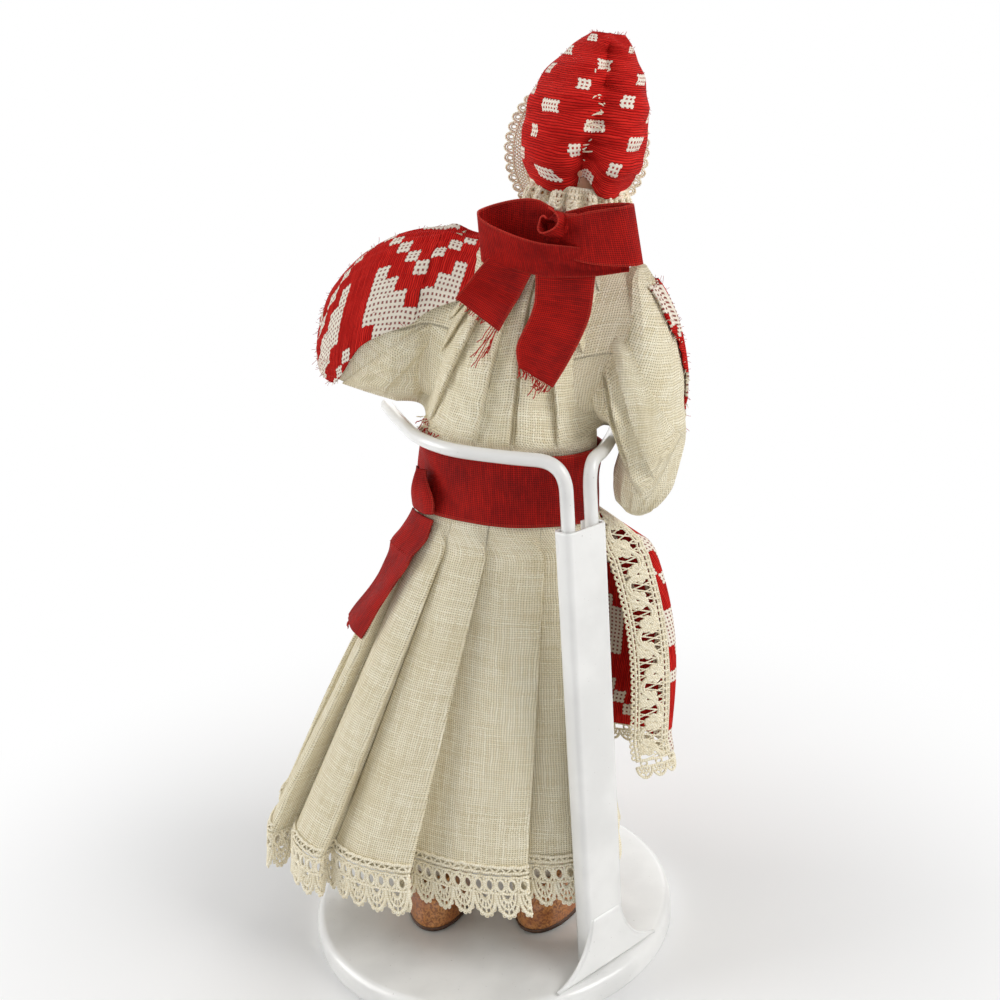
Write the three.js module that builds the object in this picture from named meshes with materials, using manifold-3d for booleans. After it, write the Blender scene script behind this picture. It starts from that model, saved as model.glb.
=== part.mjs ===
// Cloth doll in a red and cream folk costume, held at the waist by a wire doll stand.
// Millimetres, +Z up. The doll faces -Y and its left side is +X.
// The origin is the centre of the base's underside.
import * as THREE from 'three';
import { mergeVertices } from 'three/addons/utils/BufferGeometryUtils.js';
import Module from 'manifold-3d';

const wasm = await Module();
wasm.setup();

// General sizes
const CLEARANCE = 0.3;
const CLOTH = 1.0;
const RIBBON = 0.6;
const LACE = 0.8;

// Stand
const BASE_RADIUS = 49;
const BASE_HEIGHT = 6;
const BASE_SHEET = 0.8;
const BASE_EDGE = 2.4;
const POST_BEARING = THREE.MathUtils.degToRad(145.5);
const POST_INSET = 3.8;
const POST_HEIGHT = 116;
const POST_SHEET = 0.8;
const POST_ROLL = 1.5;
const POST_LIP = 3.6;
const LEG_SPACING = 7.3;
const FOOT_WIDTH = 34;
const FOOT_HEIGHT = 15;
const WIRE = 3.2;
const WIRE_PLAY = 0.2;
const LEG_LENGTH = 56;
const RING_HEIGHT = 10.4;
const RING_CORNER = 7;
const RING_BACK = 5.5;
const RING_SIDE = 4.9;
const RING_SPREAD = 9.4;
const RING_REACH = 14.2;
const RING_RIGHT = 2;

// Lean of the doll
const WAIST_TILT = THREE.MathUtils.degToRad(5);
const BUST_LEAN = THREE.MathUtils.degToRad(12);
const HEAD_TILT = THREE.MathUtils.degToRad(-6);
const HEAD_TURN = THREE.MathUtils.degToRad(18);
const BOW_TILT = THREE.MathUtils.degToRad(-11);
const BEND_LENGTH = 24;

// Doll body
const WAIST_HEIGHT = 121.7;
const WAIST_X = -12.5;
const WAIST_Y = 0.4;
const WAIST_WIDTH = 40.8;
const WAIST_DEPTH = 28.4;
const HIP_DROP = 26;
const HIP_WIDTH = 38;
const CHEST_WIDTH = 32;
const CHEST_RISE = 30;
const SHOULDER_WIDTH = 29;
const SHOULDER_DEPTH = 19;
const SHOULDER_RISE = 52;
const NECK_RISE = 64;
const NECK_WIDTH = 12;
const NECK_X = -2;
const COLLAR_RISE = 57;
const COLLAR_WIDTH = 16;
const ARM_PIVOT_RISE = 48;
const ARM_PIVOT_Y = -2.5;
const ARM_RADIUS = 4.5;
const WRIST_RADIUS = 3.4;
const HAND_LENGTH = 12;
const CUFF_LENGTH = 6;
const LEG_RADIUS = 8;
const ANKLE_RADIUS = 4.6;
const LEG_GAP = 16.6;
const SHOE_LENGTH = 34;
const SHOE_WIDTH = 17.5;
const SHOE_HEIGHT = 13.5;
const SHOE_LEFT = { x: 13.4, y: 4.9, turn: THREE.MathUtils.degToRad(8) };
const SHOE_RIGHT = { x: -17.3, y: 0.9, turn: THREE.MathUtils.degToRad(-8) };

// Head and cap
const HEAD_WIDTH = 20.5;
const HEAD_DEPTH = 22;
const HEAD_HEIGHT = 28;
const HEAD_SHIFT = -3;
const HEAD_FORWARD = -3;
const HAIR = 1.4;
const CAP_WALL = 1.7;
const CAP_TIP = 11.3;
const CAP_CREASE = 1.1;
const CAP_BOTTOM = 6;
const FACE_EDGE = 8;
const BROW_RISE = 22;
const CAP_LACE_WIDTH = 5.5;
const NAPE_LACE_DROP = 4.4;

// Clothes
const SASH_WIDTH = 17.5;
const KNOT_DEPTH = 3.6;
const SASH_KNOT_BEARING = THREE.MathUtils.degToRad(38);
const SASH_TAIL_BEARING = THREE.MathUtils.degToRad(23);
const SASH_TAIL_WIDTH = 13;
const SASH_TAIL_REACH = 0.38;
const BLOUSE_FULL_DEPTH = 3.4;
const BLOUSE_FULL_SIDE = 0.9;
const GATHERS = 14;
const GATHER_DEPTH = 0.6;
const HEM_X = 11.5;
const HEM_Y = 3;
const HEM_WIDTH = 91;
const HEM_DEPTH = 62;
const HEM_SQUARENESS = 2.5;
const HEM_HEIGHT = 27.5;
const PLEATS = 12;
const PLEAT_DEPTH = 2.4;
const HEM_LACE = 11;
const APRON_LENGTH = 0.86;
const APRON_RIGHT = THREE.MathUtils.degToRad(203.3);
const APRON_RIGHT_TURN = THREE.MathUtils.degToRad(11.9);
const APRON_LEFT = THREE.MathUtils.degToRad(318);
const APRON_STAND = 6.4;
const APRON_BULGE = 15.5;
const APRON_CURL = 19.3;
const APRON_CURL_SHARE = 0.031;
const APRON_PUFF = 9;
const APRON_FOLDS = 5;
const APRON_FOLD_DEPTH = 1;
const APRON_LACE_WIDTH = 10;
const APRON_FRINGE = 6;

// Neck bow
const BOW_X = -5;
const BOW_RISE = 60.5;
const BOW_Y = 12;
const BOW_DEPTH = 7;
const BOW_RIBBON = 13.5;
const KNOT_WIDTH = 8;
const KNOT_HEIGHT = 9;
const LOOP_LENGTH = 14.5;
const TAIL_LEFT_LENGTH = 13;
const TAIL_RIGHT_LENGTH = 26;

// Finishes
const finish = (color, roughness, metalness = 0) =>
  new THREE.MeshStandardMaterial({ color, roughness, metalness });
const enamel = finish(0xf1f1ef, 0.3);
const board = finish(0x9a8466, 0.9);
const linen = finish(0xe6dac0, 0.95);
const weave = finish(0xc9161f, 0.9);
const ribbon = finish(0xa8161f, 0.5);
const lace = finish(0xe9dfca, 0.95);
const leather = finish(0xa8672e, 0.35);
const skin = finish(0xe3b48f, 0.7);
const flax = finish(0xd9c08a, 0.9);

// Geometry helpers

// A closed surface from points and triangles, turned so that its faces point out
function closedSurface(points, triangles) {
  const volume = triangles.reduce((sum, [a, b, c]) =>
    sum + points[a].dot(new THREE.Vector3().crossVectors(points[b], points[c])), 0);
  const faces = volume > 0 ? triangles : triangles.map(([a, b, c]) => [a, c, b]);
  const geometry = new THREE.BufferGeometry().setFromPoints(points);
  geometry.setIndex(faces.flat());
  geometry.computeVertexNormals();
  return geometry;
}

// Triangles between two rows of points that start at the given indices
function stitch(triangles, first, second, count, closed) {
  const last = closed ? count : count - 1;
  for (let i = 0; i < last; i += 1) {
    const next = (i + 1) % count;
    triangles.push([first + i, first + next, second + i]);
    triangles.push([first + next, second + next, second + i]);
  }
}

// A solid skin through equal rings, closed at both ends by a fan
function loft(rings) {
  const count = rings[0].length;
  const points = rings.flat();
  const triangles = [];
  for (let row = 1; row < rings.length; row += 1) {
    stitch(triangles, (row - 1) * count, row * count, count, true);
  }
  [[0, true], [rings.length - 1, false]].forEach(([row, flip]) => {
    const middle = rings[row].reduce((sum, p) => sum.add(p), new THREE.Vector3()).divideScalar(count);
    points.push(middle);
    for (let i = 0; i < count; i += 1) {
      const a = row * count + i;
      const b = row * count + ((i + 1) % count);
      triangles.push(flip ? [b, a, points.length - 1] : [a, b, points.length - 1]);
    }
  });
  return closedSurface(points, triangles);
}

// A thin wall between two skins of equal rows: a tube where the rows are closed, else a flat piece
function wall(outer, inner, closed) {
  const count = outer[0].length;
  const rows = outer.length;
  const points = [...outer.flat(), ...inner.flat()];
  const back = rows * count;
  const triangles = [];
  const reversed = [];
  for (let row = 1; row < rows; row += 1) {
    stitch(triangles, (row - 1) * count, row * count, count, closed);
    stitch(reversed, back + (row - 1) * count, back + row * count, count, closed);
  }
  stitch(triangles, back, 0, count, closed);
  stitch(reversed, back + (rows - 1) * count, (rows - 1) * count, count, closed);
  if (!closed) {
    for (let row = 1; row < rows; row += 1) {
      const a = (row - 1) * count;
      const b = row * count;
      triangles.push([a, b, back + a], [b, back + b, back + a]);
      const c = a + count - 1;
      const d = b + count - 1;
      reversed.push([c, d, back + c], [d, back + d, back + c]);
    }
  }
  return closedSurface(points, [...triangles, ...reversed.map(([a, b, c]) => [a, c, b])]);
}

function solid(geometry) {
  const bare = geometry.clone();
  ['normal', 'uv'].filter((name) => bare.attributes[name]).forEach((name) => bare.deleteAttribute(name));
  const merged = mergeVertices(bare);
  return new wasm.Manifold(new wasm.Mesh({
    numProp: 3,
    vertProperties: Float32Array.from(merged.attributes.position.array),
    triVerts: Uint32Array.from(merged.index.array),
  }));
}

function surface(body) {
  const mesh = body.getMesh();
  const geometry = new THREE.BufferGeometry();
  geometry.setAttribute('position', new THREE.BufferAttribute(Float32Array.from(mesh.vertProperties), 3));
  geometry.setIndex(Array.from(mesh.triVerts));
  geometry.computeVertexNormals();
  return geometry;
}

const cut = (geometry, ...tools) =>
  surface(tools.reduce((body, tool) => body.subtract(solid(tool)), solid(geometry)));
const join = (geometry, ...others) =>
  surface(others.reduce((body, other) => body.add(solid(other)), solid(geometry)));

function box(low, high) {
  const size = new THREE.Vector3().subVectors(high, low);
  const middle = new THREE.Vector3().addVectors(low, high).multiplyScalar(0.5);
  return new THREE.BoxGeometry(size.x, size.y, size.z).translate(middle.x, middle.y, middle.z);
}

const vec = (x, y, z) => new THREE.Vector3(x, y, z);
const lerp = THREE.MathUtils.lerp;
const smooth = (t) => THREE.MathUtils.smoothstep(t, 0, 1);

// Points round an oval at one height, pushed out by an amount that may change with the angle
function oval({ x = 0, y = 0, z, a, b }, sides, push = () => 0) {
  return Array.from({ length: sides }, (_, i) => {
    const angle = (i / sides) * 2 * Math.PI;
    const out = push(angle);
    return vec(x + (a + out) * Math.cos(angle), y + (b + out) * Math.sin(angle), z);
  });
}

// A stuffed limb along straight stretches, given as [point, radius] pairs, rounded at both ends
function limb(stations, sides, grow, flatten = 1) {
  const first = stations[0][0];
  const last = stations[stations.length - 1][0];
  const along = new THREE.Vector3().subVectors(last, first).normalize();
  const side = new THREE.Vector3().crossVectors(along, Math.abs(along.z) > 0.9 ? vec(1, 0, 0) : vec(0, 0, 1));
  side.normalize();
  const up = new THREE.Vector3().crossVectors(side, along);
  const ring = (point, radius, shift) => Array.from({ length: sides }, (_, i) => {
    const angle = (i / sides) * 2 * Math.PI;
    return point.clone()
      .addScaledVector(along, shift)
      .addScaledVector(side, radius * Math.cos(angle))
      .addScaledVector(up, radius * flatten * Math.sin(angle));
  });
  const startRadius = stations[0][1] + grow;
  const endRadius = stations[stations.length - 1][1] + grow;
  return loft([
    ring(first, startRadius * 0.6, -grow - startRadius * 0.45),
    ...stations.map(([point, radius]) => ring(point, radius + grow, 0)),
    ring(last, endRadius * 0.6, grow + endRadius * 0.45),
  ]);
}

const model = new THREE.Group();

function place(group, name, geometry, material) {
  const mesh = new THREE.Mesh(geometry, material);
  mesh.name = name;
  group.add(mesh);
  return mesh;
}

// Frames of the doll: feet on the base, waist, bust, head and bow
const doll = new THREE.Group();
doll.position.z = BASE_HEIGHT + CLEARANCE;
model.add(doll);

const waist = new THREE.Group();
waist.position.set(WAIST_X, WAIST_Y, WAIST_HEIGHT);
waist.rotation.y = -WAIST_TILT;
doll.add(waist);

const bendStart = SASH_WIDTH / 2 + CLEARANCE;

// A point of the upright doll set on its leaning spine, in the waist's frame
function bent(x, y, z) {
  const angle = BUST_LEAN * THREE.MathUtils.clamp((z - bendStart) / BEND_LENGTH, 0, 1);
  const radius = BEND_LENGTH / BUST_LEAN;
  const past = Math.max(0, z - bendStart - BEND_LENGTH);
  const rise = Math.min(z, bendStart) + radius * Math.sin(angle) + past * Math.cos(angle);
  const shift = -radius * (1 - Math.cos(angle)) - past * Math.sin(angle);
  return vec(shift + x * Math.cos(angle), y, rise + x * Math.sin(angle));
}
const bentRing = (ring) => ring.map((p) => bent(p.x, p.y, p.z));

const bust = new THREE.Group();
const bendEnd = bendStart + BEND_LENGTH;
const spine = vec(-Math.sin(BUST_LEAN), 0, Math.cos(BUST_LEAN));
bust.position.copy(bent(0, 0, bendEnd)).addScaledVector(spine, -bendEnd);
bust.rotation.y = -BUST_LEAN;
waist.add(bust);

const headGroup = new THREE.Group();
headGroup.position.set(NECK_X, ARM_PIVOT_Y, NECK_RISE);
headGroup.rotation.y = -HEAD_TILT;
bust.add(headGroup);
const headTurn = new THREE.Group();
headTurn.rotation.z = HEAD_TURN;
headGroup.add(headTurn);

const bow = new THREE.Group();
bow.position.set(BOW_X, 0, BOW_RISE);
bow.rotation.y = -BOW_TILT;
bust.add(bow);

model.updateMatrixWorld(true);

// Torso: a stuffed body from the hips to the neck, and the blouse over it on the same stations
const chestRise = Math.max(CHEST_RISE, bendStart + CLEARANCE);
const torsoStations = [
  { z: -HIP_DROP, a: HIP_WIDTH / 2, b: WAIST_DEPTH / 2 - 1 },
  { z: 0, a: WAIST_WIDTH / 2, b: WAIST_DEPTH / 2 },
  { z: bendStart, a: WAIST_WIDTH / 2, b: WAIST_DEPTH / 2 },
  { z: lerp(bendStart, chestRise, 0.35), a: lerp(WAIST_WIDTH, CHEST_WIDTH, 0.75) / 2, b: WAIST_DEPTH / 2 },
  { z: chestRise, a: CHEST_WIDTH / 2, b: WAIST_DEPTH / 2 },
  { z: lerp(chestRise, SHOULDER_RISE, 0.64), a: lerp(CHEST_WIDTH, SHOULDER_WIDTH, 0.2) / 2,
    b: lerp(WAIST_DEPTH, SHOULDER_DEPTH, 0.3) / 2 },
  { z: SHOULDER_RISE, a: SHOULDER_WIDTH / 2, b: SHOULDER_DEPTH / 2 },
  { z: COLLAR_RISE, a: COLLAR_WIDTH / 2, b: COLLAR_WIDTH / 2 - 1, x: NECK_X / 2, y: -1 },
  { z: NECK_RISE, a: NECK_WIDTH / 2, b: NECK_WIDTH / 2, x: NECK_X, y: ARM_PIVOT_Y },
];
const grown = (station, grow) => ({ ...station, a: station.a + grow, b: station.b + grow });
const torsoSides = 2 * GATHERS;
const torsoForm = (grow) => loft(torsoStations.map((station) =>
  bentRing(oval(grown(station, grow), torsoSides))));
place(waist, 'torso', torsoForm(0), linen);

const blouseSides = 3 * GATHERS;
const blouseStations = torsoStations.slice(1, -1).map((station) => {
  const full = smooth((station.z - bendStart) / 6) * smooth((COLLAR_RISE - station.z) / 26);
  return {
    inner: grown(station, CLEARANCE),
    outer: {
      ...station,
      a: station.a + CLEARANCE + CLOTH + full * BLOUSE_FULL_SIDE,
      b: station.b + CLEARANCE + CLOTH + full * BLOUSE_FULL_DEPTH,
    },
    full: smooth((station.z - bendStart) / 4) * smooth((COLLAR_RISE - station.z) / 6),
  };
});
place(waist, 'blouse_body', wall(
  blouseStations.map(({ outer, full }) => bentRing(oval(outer, blouseSides,
    (angle) => full * GATHER_DEPTH * Math.cos(GATHERS * angle)))),
  blouseStations.map(({ inner }) => bentRing(oval(inner, blouseSides))),
  true,
), linen);

// The sleeves begin at flat armholes, so that an arm swings without touching the blouse
const armhole = CHEST_WIDTH / 2 + 2 * CLEARANCE + CLOTH + BLOUSE_FULL_SIDE + GATHER_DEPTH;
const blouseBack = (rise) => {
  const above = blouseStations.findIndex(({ outer }) => outer.z >= rise);
  const [low, high] = [blouseStations[above - 1].outer, blouseStations[above].outer];
  return lerp(low.b, high.b, (rise - low.z) / (high.z - low.z)) + GATHER_DEPTH;
};

// Sash: a ribbon round the waist, over the seam of blouse and skirt
const seamGrow = CLEARANCE + CLOTH;
const sashInner = { a: WAIST_WIDTH / 2 + seamGrow + CLEARANCE, b: WAIST_DEPTH / 2 + seamGrow + CLEARANCE };
const sashOuter = { a: sashInner.a + CLOTH, b: sashInner.b + CLOTH };
const sashSides = 48;
const sashRows = [-SASH_WIDTH / 2, SASH_WIDTH / 2];
place(waist, 'sash', wall(
  sashRows.map((z) => oval({ ...sashOuter, z }, sashSides)),
  sashRows.map((z) => oval({ ...sashInner, z }, sashSides)),
  true,
), ribbon);

// Skirt: a frame that slides from the sash's lower edge to the hem, v from 0 to 1
const skirtTop = -SASH_WIDTH / 2 - CLEARANCE;
const hemPoint = vec(HEM_X, HEM_Y, HEM_HEIGHT);
const topPoint = vec(0, 0, skirtTop).applyMatrix4(waist.matrix);
const skirtSquareness = (v) => lerp(2, HEM_SQUARENESS, v);

function hang(v, x, y, drop = 0) {
  const tilt = WAIST_TILT * (1 - v);
  const middle = new THREE.Vector3().lerpVectors(topPoint, hemPoint, v);
  return vec(middle.x + x * Math.cos(tilt), middle.y + y, middle.z + x * Math.sin(tilt) - drop);
}

// Radius profile of one knife pleat: a slow rise, then a sharp fold back
const pleatTurns = [0, 0.4, 0.78, 0.9];
const pleatHeights = [-1, -0.1, 1, 0];
const pleatSides = PLEATS * pleatTurns.length;
const waistA = WAIST_WIDTH / 2 + seamGrow;
const waistB = WAIST_DEPTH / 2 + seamGrow;

function skirtPoint(v, angle, push, drop = 0) {
  const power = 2 / skirtSquareness(v);
  const a = lerp(waistA, HEM_WIDTH / 2, v) + push;
  const b = lerp(waistB, HEM_DEPTH / 2, v) + push;
  const cos = Math.cos(angle);
  const sin = Math.sin(angle);
  const x = a * Math.sign(cos) * Math.abs(cos) ** power;
  const y = b * Math.sign(sin) * Math.abs(sin) ** power;
  return hang(v, x, y, drop);
}

function skirtRing(v, grow, drop = 0) {
  return Array.from({ length: pleatSides }, (_, i) => {
    const step = i % pleatTurns.length;
    const angle = ((Math.floor(i / pleatTurns.length) + pleatTurns[step]) / PLEATS) * 2 * Math.PI;
    return skirtPoint(v, angle, grow + pleatHeights[step] * PLEAT_DEPTH * v ** 0.7, drop);
  });
}

const toDoll = (p) => p.clone().applyMatrix4(waist.matrix);
const bandRing = (z, grow) => oval({ z, a: waistA + grow, b: waistB + grow }, pleatSides).map(toDoll);
const skirtRows = [0.06, 0.25, 0.5, 0.75, 1];
place(doll, 'skirt', wall(
  [bandRing(-CLEARANCE, 0), bandRing(skirtTop, 0), ...skirtRows.map((v) => skirtRing(v, 0))],
  [bandRing(-CLEARANCE, -CLOTH), bandRing(skirtTop, -CLOTH), ...skirtRows.map((v) => skirtRing(v, -CLOTH))],
  true,
), linen);

const laceDrops = [CLEARANCE, HEM_LACE * 0.55, HEM_LACE];
place(doll, 'skirt_lace', wall(
  laceDrops.map((drop) => skirtRing(1, 0.12 * drop, drop)),
  laceDrops.map((drop) => skirtRing(1, 0.12 * drop - LACE, drop)),
  true,
), lace);

// Sash knot on the doll's left, and the tail that hangs from it down the skirt
const knotPoint = vec(
  sashOuter.a * Math.cos(SASH_KNOT_BEARING),
  sashOuter.b * Math.sin(SASH_KNOT_BEARING),
  0,
);
const knotTurn = Math.atan2(knotPoint.y / sashOuter.b ** 2, knotPoint.x / sashOuter.a ** 2);
const sashKnot = new THREE.Group();
sashKnot.position.copy(knotPoint);
sashKnot.rotation.z = knotTurn;
waist.add(sashKnot);
const sashKnotSide = SASH_WIDTH * 0.36;
place(sashKnot, 'sash_knot', cut(
  loft([-1, -0.6, 0, 0.6, 1].map((t) => oval({
    x: CLEARANCE,
    z: t * sashKnotSide,
    a: KNOT_DEPTH * (1 - 0.3 * t * t),
    b: sashKnotSide * (1 - 0.35 * t * t),
  }, 16))),
  box(vec(-SASH_WIDTH, -SASH_WIDTH, -SASH_WIDTH), vec(CLEARANCE, SASH_WIDTH, SASH_WIDTH)),
), ribbon);

const tailRows = [0.015, 0.1, 0.2, 0.3, SASH_TAIL_REACH];
const tailPush = (v) => PLEAT_DEPTH * v ** 0.7 + CLEARANCE + 1.4 * v;
function sashTailRow(v, lift) {
  const halfTurn = SASH_TAIL_WIDTH / 2 / lerp(waistA, HEM_WIDTH / 2, v);
  const bearing = lerp(SASH_KNOT_BEARING, SASH_TAIL_BEARING, v / SASH_TAIL_REACH);
  return [-1, -0.33, 0.33, 1].map((t) => skirtPoint(v, bearing + t * halfTurn, tailPush(v) + lift));
}
place(doll, 'sash_tail', wall(
  tailRows.map((v) => sashTailRow(v, RIBBON)),
  tailRows.map((v) => sashTailRow(v, 0)),
  false,
), ribbon);

// Apron: gathered under the sash, standing off the skirt at the right, where its edge curls back in
const apronFront = PLEAT_DEPTH + CLEARANCE + 1.5;
function apronSkin(u, v) {
  const angle = lerp(APRON_RIGHT - v * APRON_RIGHT_TURN, APRON_LEFT, u);
  const belly = Math.sin(Math.PI * Math.min(1, 1.25 * v));
  const puff = APRON_PUFF * belly * Math.sin(Math.PI * (0.1 + 0.8 * u)) ** 0.7;
  const stand = APRON_STAND * v * (1 - u);
  const fold = APRON_FOLD_DEPTH * v * Math.cos(2 * Math.PI * APRON_FOLDS * u);
  const bulge = APRON_BULGE * Math.min(1, 7 * v) * (1 - u) ** 6;
  const curl = APRON_CURL * Math.min(1, 7 * v) * Math.exp(-u / APRON_CURL_SHARE);
  const front = apronFront * Math.min(1, 6 * v) + CLEARANCE;
  return skirtPoint(v, angle, front + puff + stand + fold + bulge - curl);
}
function apronPoint(u, v, lift) {
  const step = 0.002;
  const across = apronSkin(u + step, v).sub(apronSkin(u - step, v));
  const down = apronSkin(u, v + step).sub(apronSkin(u, v - step));
  return apronSkin(u, v).addScaledVector(down.cross(across).normalize(), lift);
}
const apronColumns = 5 * APRON_FOLDS;
const columnShare = (t) => t ** 1.25;
const apronRows = [0.012, 0.1, 0.25, 0.45, 0.68, APRON_LENGTH];
function apronStrip(from, to, rows, columns, thickness) {
  const row = (v, lift) => {
    const [start, end] = [from(v), to(v)];
    return Array.from({ length: columns + 1 },
      (_, i) => apronPoint(lerp(start, end, columnShare(i / columns)), v, lift));
  };
  return wall(rows.map((v) => row(v, thickness)), rows.map((v) => row(v, 0)), false);
}
// How far a strip of a given width, measured along the cloth, reaches in from one side of the apron
function stripShare(v, side, width) {
  const steps = 500;
  const at = (i) => apronSkin(Math.abs(side - i / steps), v);
  let reach = 0;
  let i = 0;
  while (reach < width && i < steps) {
    reach += at(i).distanceTo(at(i + 1));
    i += 1;
  }
  const over = (reach - width) / at(i - 1).distanceTo(at(i));
  return Math.abs(side - (i - over) / steps);
}
const laceWidth = (v) => APRON_LACE_WIDTH * lerp(0.25, 1, Math.min(1, 8 * v));
const laceEnd = (side, gap) => (v) => stripShare(v, side, laceWidth(v) + gap);
const apronField = apronStrip(laceEnd(0, CLEARANCE), laceEnd(1, CLEARANCE), apronRows, apronColumns, CLOTH);
place(doll, 'apron', apronField, weave);
place(doll, 'apron_lace_right', apronStrip(() => 0, laceEnd(0, 0), apronRows, 4, LACE), lace);
place(doll, 'apron_lace_left', apronStrip(laceEnd(1, 0), () => 1, apronRows, 3, LACE), lace);
const skirtFall = topPoint.z - hemPoint.z;
const fringeRows = [APRON_LENGTH + CLEARANCE / skirtFall, APRON_LENGTH + APRON_FRINGE / skirtFall];
place(doll, 'apron_fringe', apronStrip(() => 0, () => 1, fringeRows, apronColumns, LACE), lace);

// Legs and shoes, hidden in the skirt but for the heels
function shoeForm() {
  const stations = [
    { z: 0, a: 0.44, b: 0.47, y: 0 },
    { z: 0.12, a: 0.5, b: 0.5, y: 0 },
    { z: 0.45, a: 0.48, b: 0.47, y: 0.02 },
    { z: 0.75, a: 0.4, b: 0.36, y: 0.1 },
    { z: 1, a: 0.34, b: 0.22, y: 0.22 },
  ];
  return loft(stations.map(({ z, a, b, y }) => oval({
    z: z * SHOE_HEIGHT, a: a * SHOE_WIDTH, b: b * SHOE_LENGTH, y: y * SHOE_LENGTH,
  }, 20, (angle) => (Math.sin(angle) < 0 ? -0.06 * SHOE_WIDTH * Math.abs(Math.sin(angle)) : 0))));
}
const torsoInDoll = torsoForm(CLEARANCE).applyMatrix4(waist.matrix);
const hipPoint = (side) => vec(side * LEG_GAP / 2, 0, -HIP_DROP).applyMatrix4(waist.matrix);
[['left', 1, SHOE_LEFT], ['right', -1, SHOE_RIGHT]].forEach(([name, side, shoe]) => {
  const mesh = place(doll, `shoe_${name}`, shoeForm(), leather);
  mesh.position.set(shoe.x, shoe.y, 0);
  mesh.rotation.z = shoe.turn;
  const ankle = vec(0, 0.22 * SHOE_LENGTH, SHOE_HEIGHT + CLEARANCE).applyAxisAngle(vec(0, 0, 1), shoe.turn);
  ankle.add(vec(shoe.x, shoe.y, 0));
  const hip = hipPoint(side);
  const knee = new THREE.Vector3().lerpVectors(ankle, hip, 0.55);
  const floor = box(vec(-HEM_WIDTH, -HEM_WIDTH, -SHOE_HEIGHT), vec(HEM_WIDTH, HEM_WIDTH, ankle.z));
  place(doll, `leg_${name}`, cut(
    limb([[ankle, ANKLE_RADIUS], [knee, LEG_RADIUS * 0.9], [hip, LEG_RADIUS]], 14, 0),
    torsoInDoll, floor,
  ), linen);
});

// Arms, sleeves and hands, in the bust's frame. Each arm swings about the bust's own side-to-side axis
const sleeveSides = 24;
const sleeveFace = armhole + CLEARANCE;

// Stations of the left sleeve run outwards along X, those of the right sleeve run down along Z.
// The seam is the angle, in degrees, at which the woven panel begins on each ring
const leftSleeve = [
  { out: 0, y: -2.5, rise: 40.5, deep: 17, tall: 28, seam: -10 },
  { out: 3, y: -3, rise: 33, deep: 23, tall: 41, seam: 2 },
  { out: 8, y: -3.5, rise: 29.9, deep: 27, tall: 42.6, seam: 0 },
  { out: 16, y: -4, rise: 27.9, deep: 28.5, tall: 38.9, seam: -13 },
  { out: 23.5, y: -4.5, rise: 24.7, deep: 25, tall: 32.6, seam: -60 },
  { out: 28.5, y: -5, rise: 21.7, deep: 18, tall: 24.6, seam: -85 },
  { out: 30.9, y: -5, rise: 20.5, deep: 9, tall: 13, seam: -90 },
  { out: 31.5, y: -5, rise: 20, deep: 3.5, tall: 5, seam: -90 },
];
const rightSleeve = [
  { rise: 57, y: -2.5, out: 1.5, wide: 3.5, deep: 8, seam: 105 },
  { rise: 53.5, y: -2.5, out: 0, wide: 8.2, deep: 15, seam: 140 },
  { rise: 47.5, y: -2.5, out: 0, wide: 13.6, deep: 22, seam: 152 },
  { rise: 40.5, y: -2.5, out: 0, wide: 17.5, deep: 26, seam: 185 },
  { rise: 30, y: -2.5, out: 0, wide: 21.2, deep: 28.5, seam: 205 },
  { rise: 24, y: -2.5, out: 1, wide: 22, deep: 29, seam: 215 },
  { rise: 18.8, y: -2.5, out: 9.4, wide: 14.8, deep: 27.5, seam: 225 },
  { rise: 9, y: -3, out: 9.4, wide: 14.8, deep: 24, seam: 235 },
  { rise: 2, y: -4, out: 11.5, wide: 10.8, deep: 16, seam: 235 },
  { rise: -1.4, y: -5, out: 14, wide: 6.4, deep: 9, seam: 235 },
];

function leftSleevePoint({ out, y, rise, deep, tall }, angle, grow, shift = 0) {
  const along = (deep / 2 + grow) * Math.cos(angle);
  const up = (tall / 2 + grow) * Math.sin(angle);
  return vec(sleeveFace + out + shift, y + along, rise + up);
}
function rightSleevePoint({ rise, y, out, wide, deep }, angle, grow, shift = 0) {
  const across = (wide / 2 + grow) * Math.cos(angle);
  const along = (deep / 2 + grow) * Math.sin(angle);
  return vec(across - sleeveFace - out - wide / 2, y + along, rise + shift);
}
function sleeveForm(stations, point, grow, towards) {
  const ends = (i) => (i === 0 ? -towards * grow : towards * grow * (i === stations.length - 1));
  const turn = Array.from({ length: sleeveSides }, (_, k) => 2 * Math.PI * k / sleeveSides);
  return loft(stations.map((station, i) => turn.map((angle) => point(station, angle, grow, ends(i)))));
}

// A panel of woven cloth on the sleeve's skin, from the slanting seam to a straight far edge
function sleevePanel(stations, point, edge) {
  const perStation = 3;
  const columns = 14;
  const row = (i, grow) => {
    const low = Math.min(Math.floor(i / perStation), stations.length - 2);
    const share = i / perStation - low;
    const station = Object.fromEntries(Object.entries(stations[low]).map(
      ([key, value]) => [key, lerp(value, stations[low + 1][key], share)]));
    return Array.from({ length: columns + 1 }, (_, k) =>
      point(station, THREE.MathUtils.degToRad(lerp(station.seam, edge, k / columns)), grow));
  };
  const rows = Array.from({ length: perStation * (stations.length - 1) + 1 }, (_, i) => i);
  const inner = 2 * CLEARANCE;
  return wall(rows.map((i) => row(i, inner + CLOTH)), rows.map((i) => row(i, inner)), false);
}

const inwards = (side) => {
  const far = 4 * armhole;
  return side > 0 ? box(vec(-far, -far, -far), vec(sleeveFace, far, far))
    : box(vec(-sleeveFace, -far, -far), vec(far, far, far));
};

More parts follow.
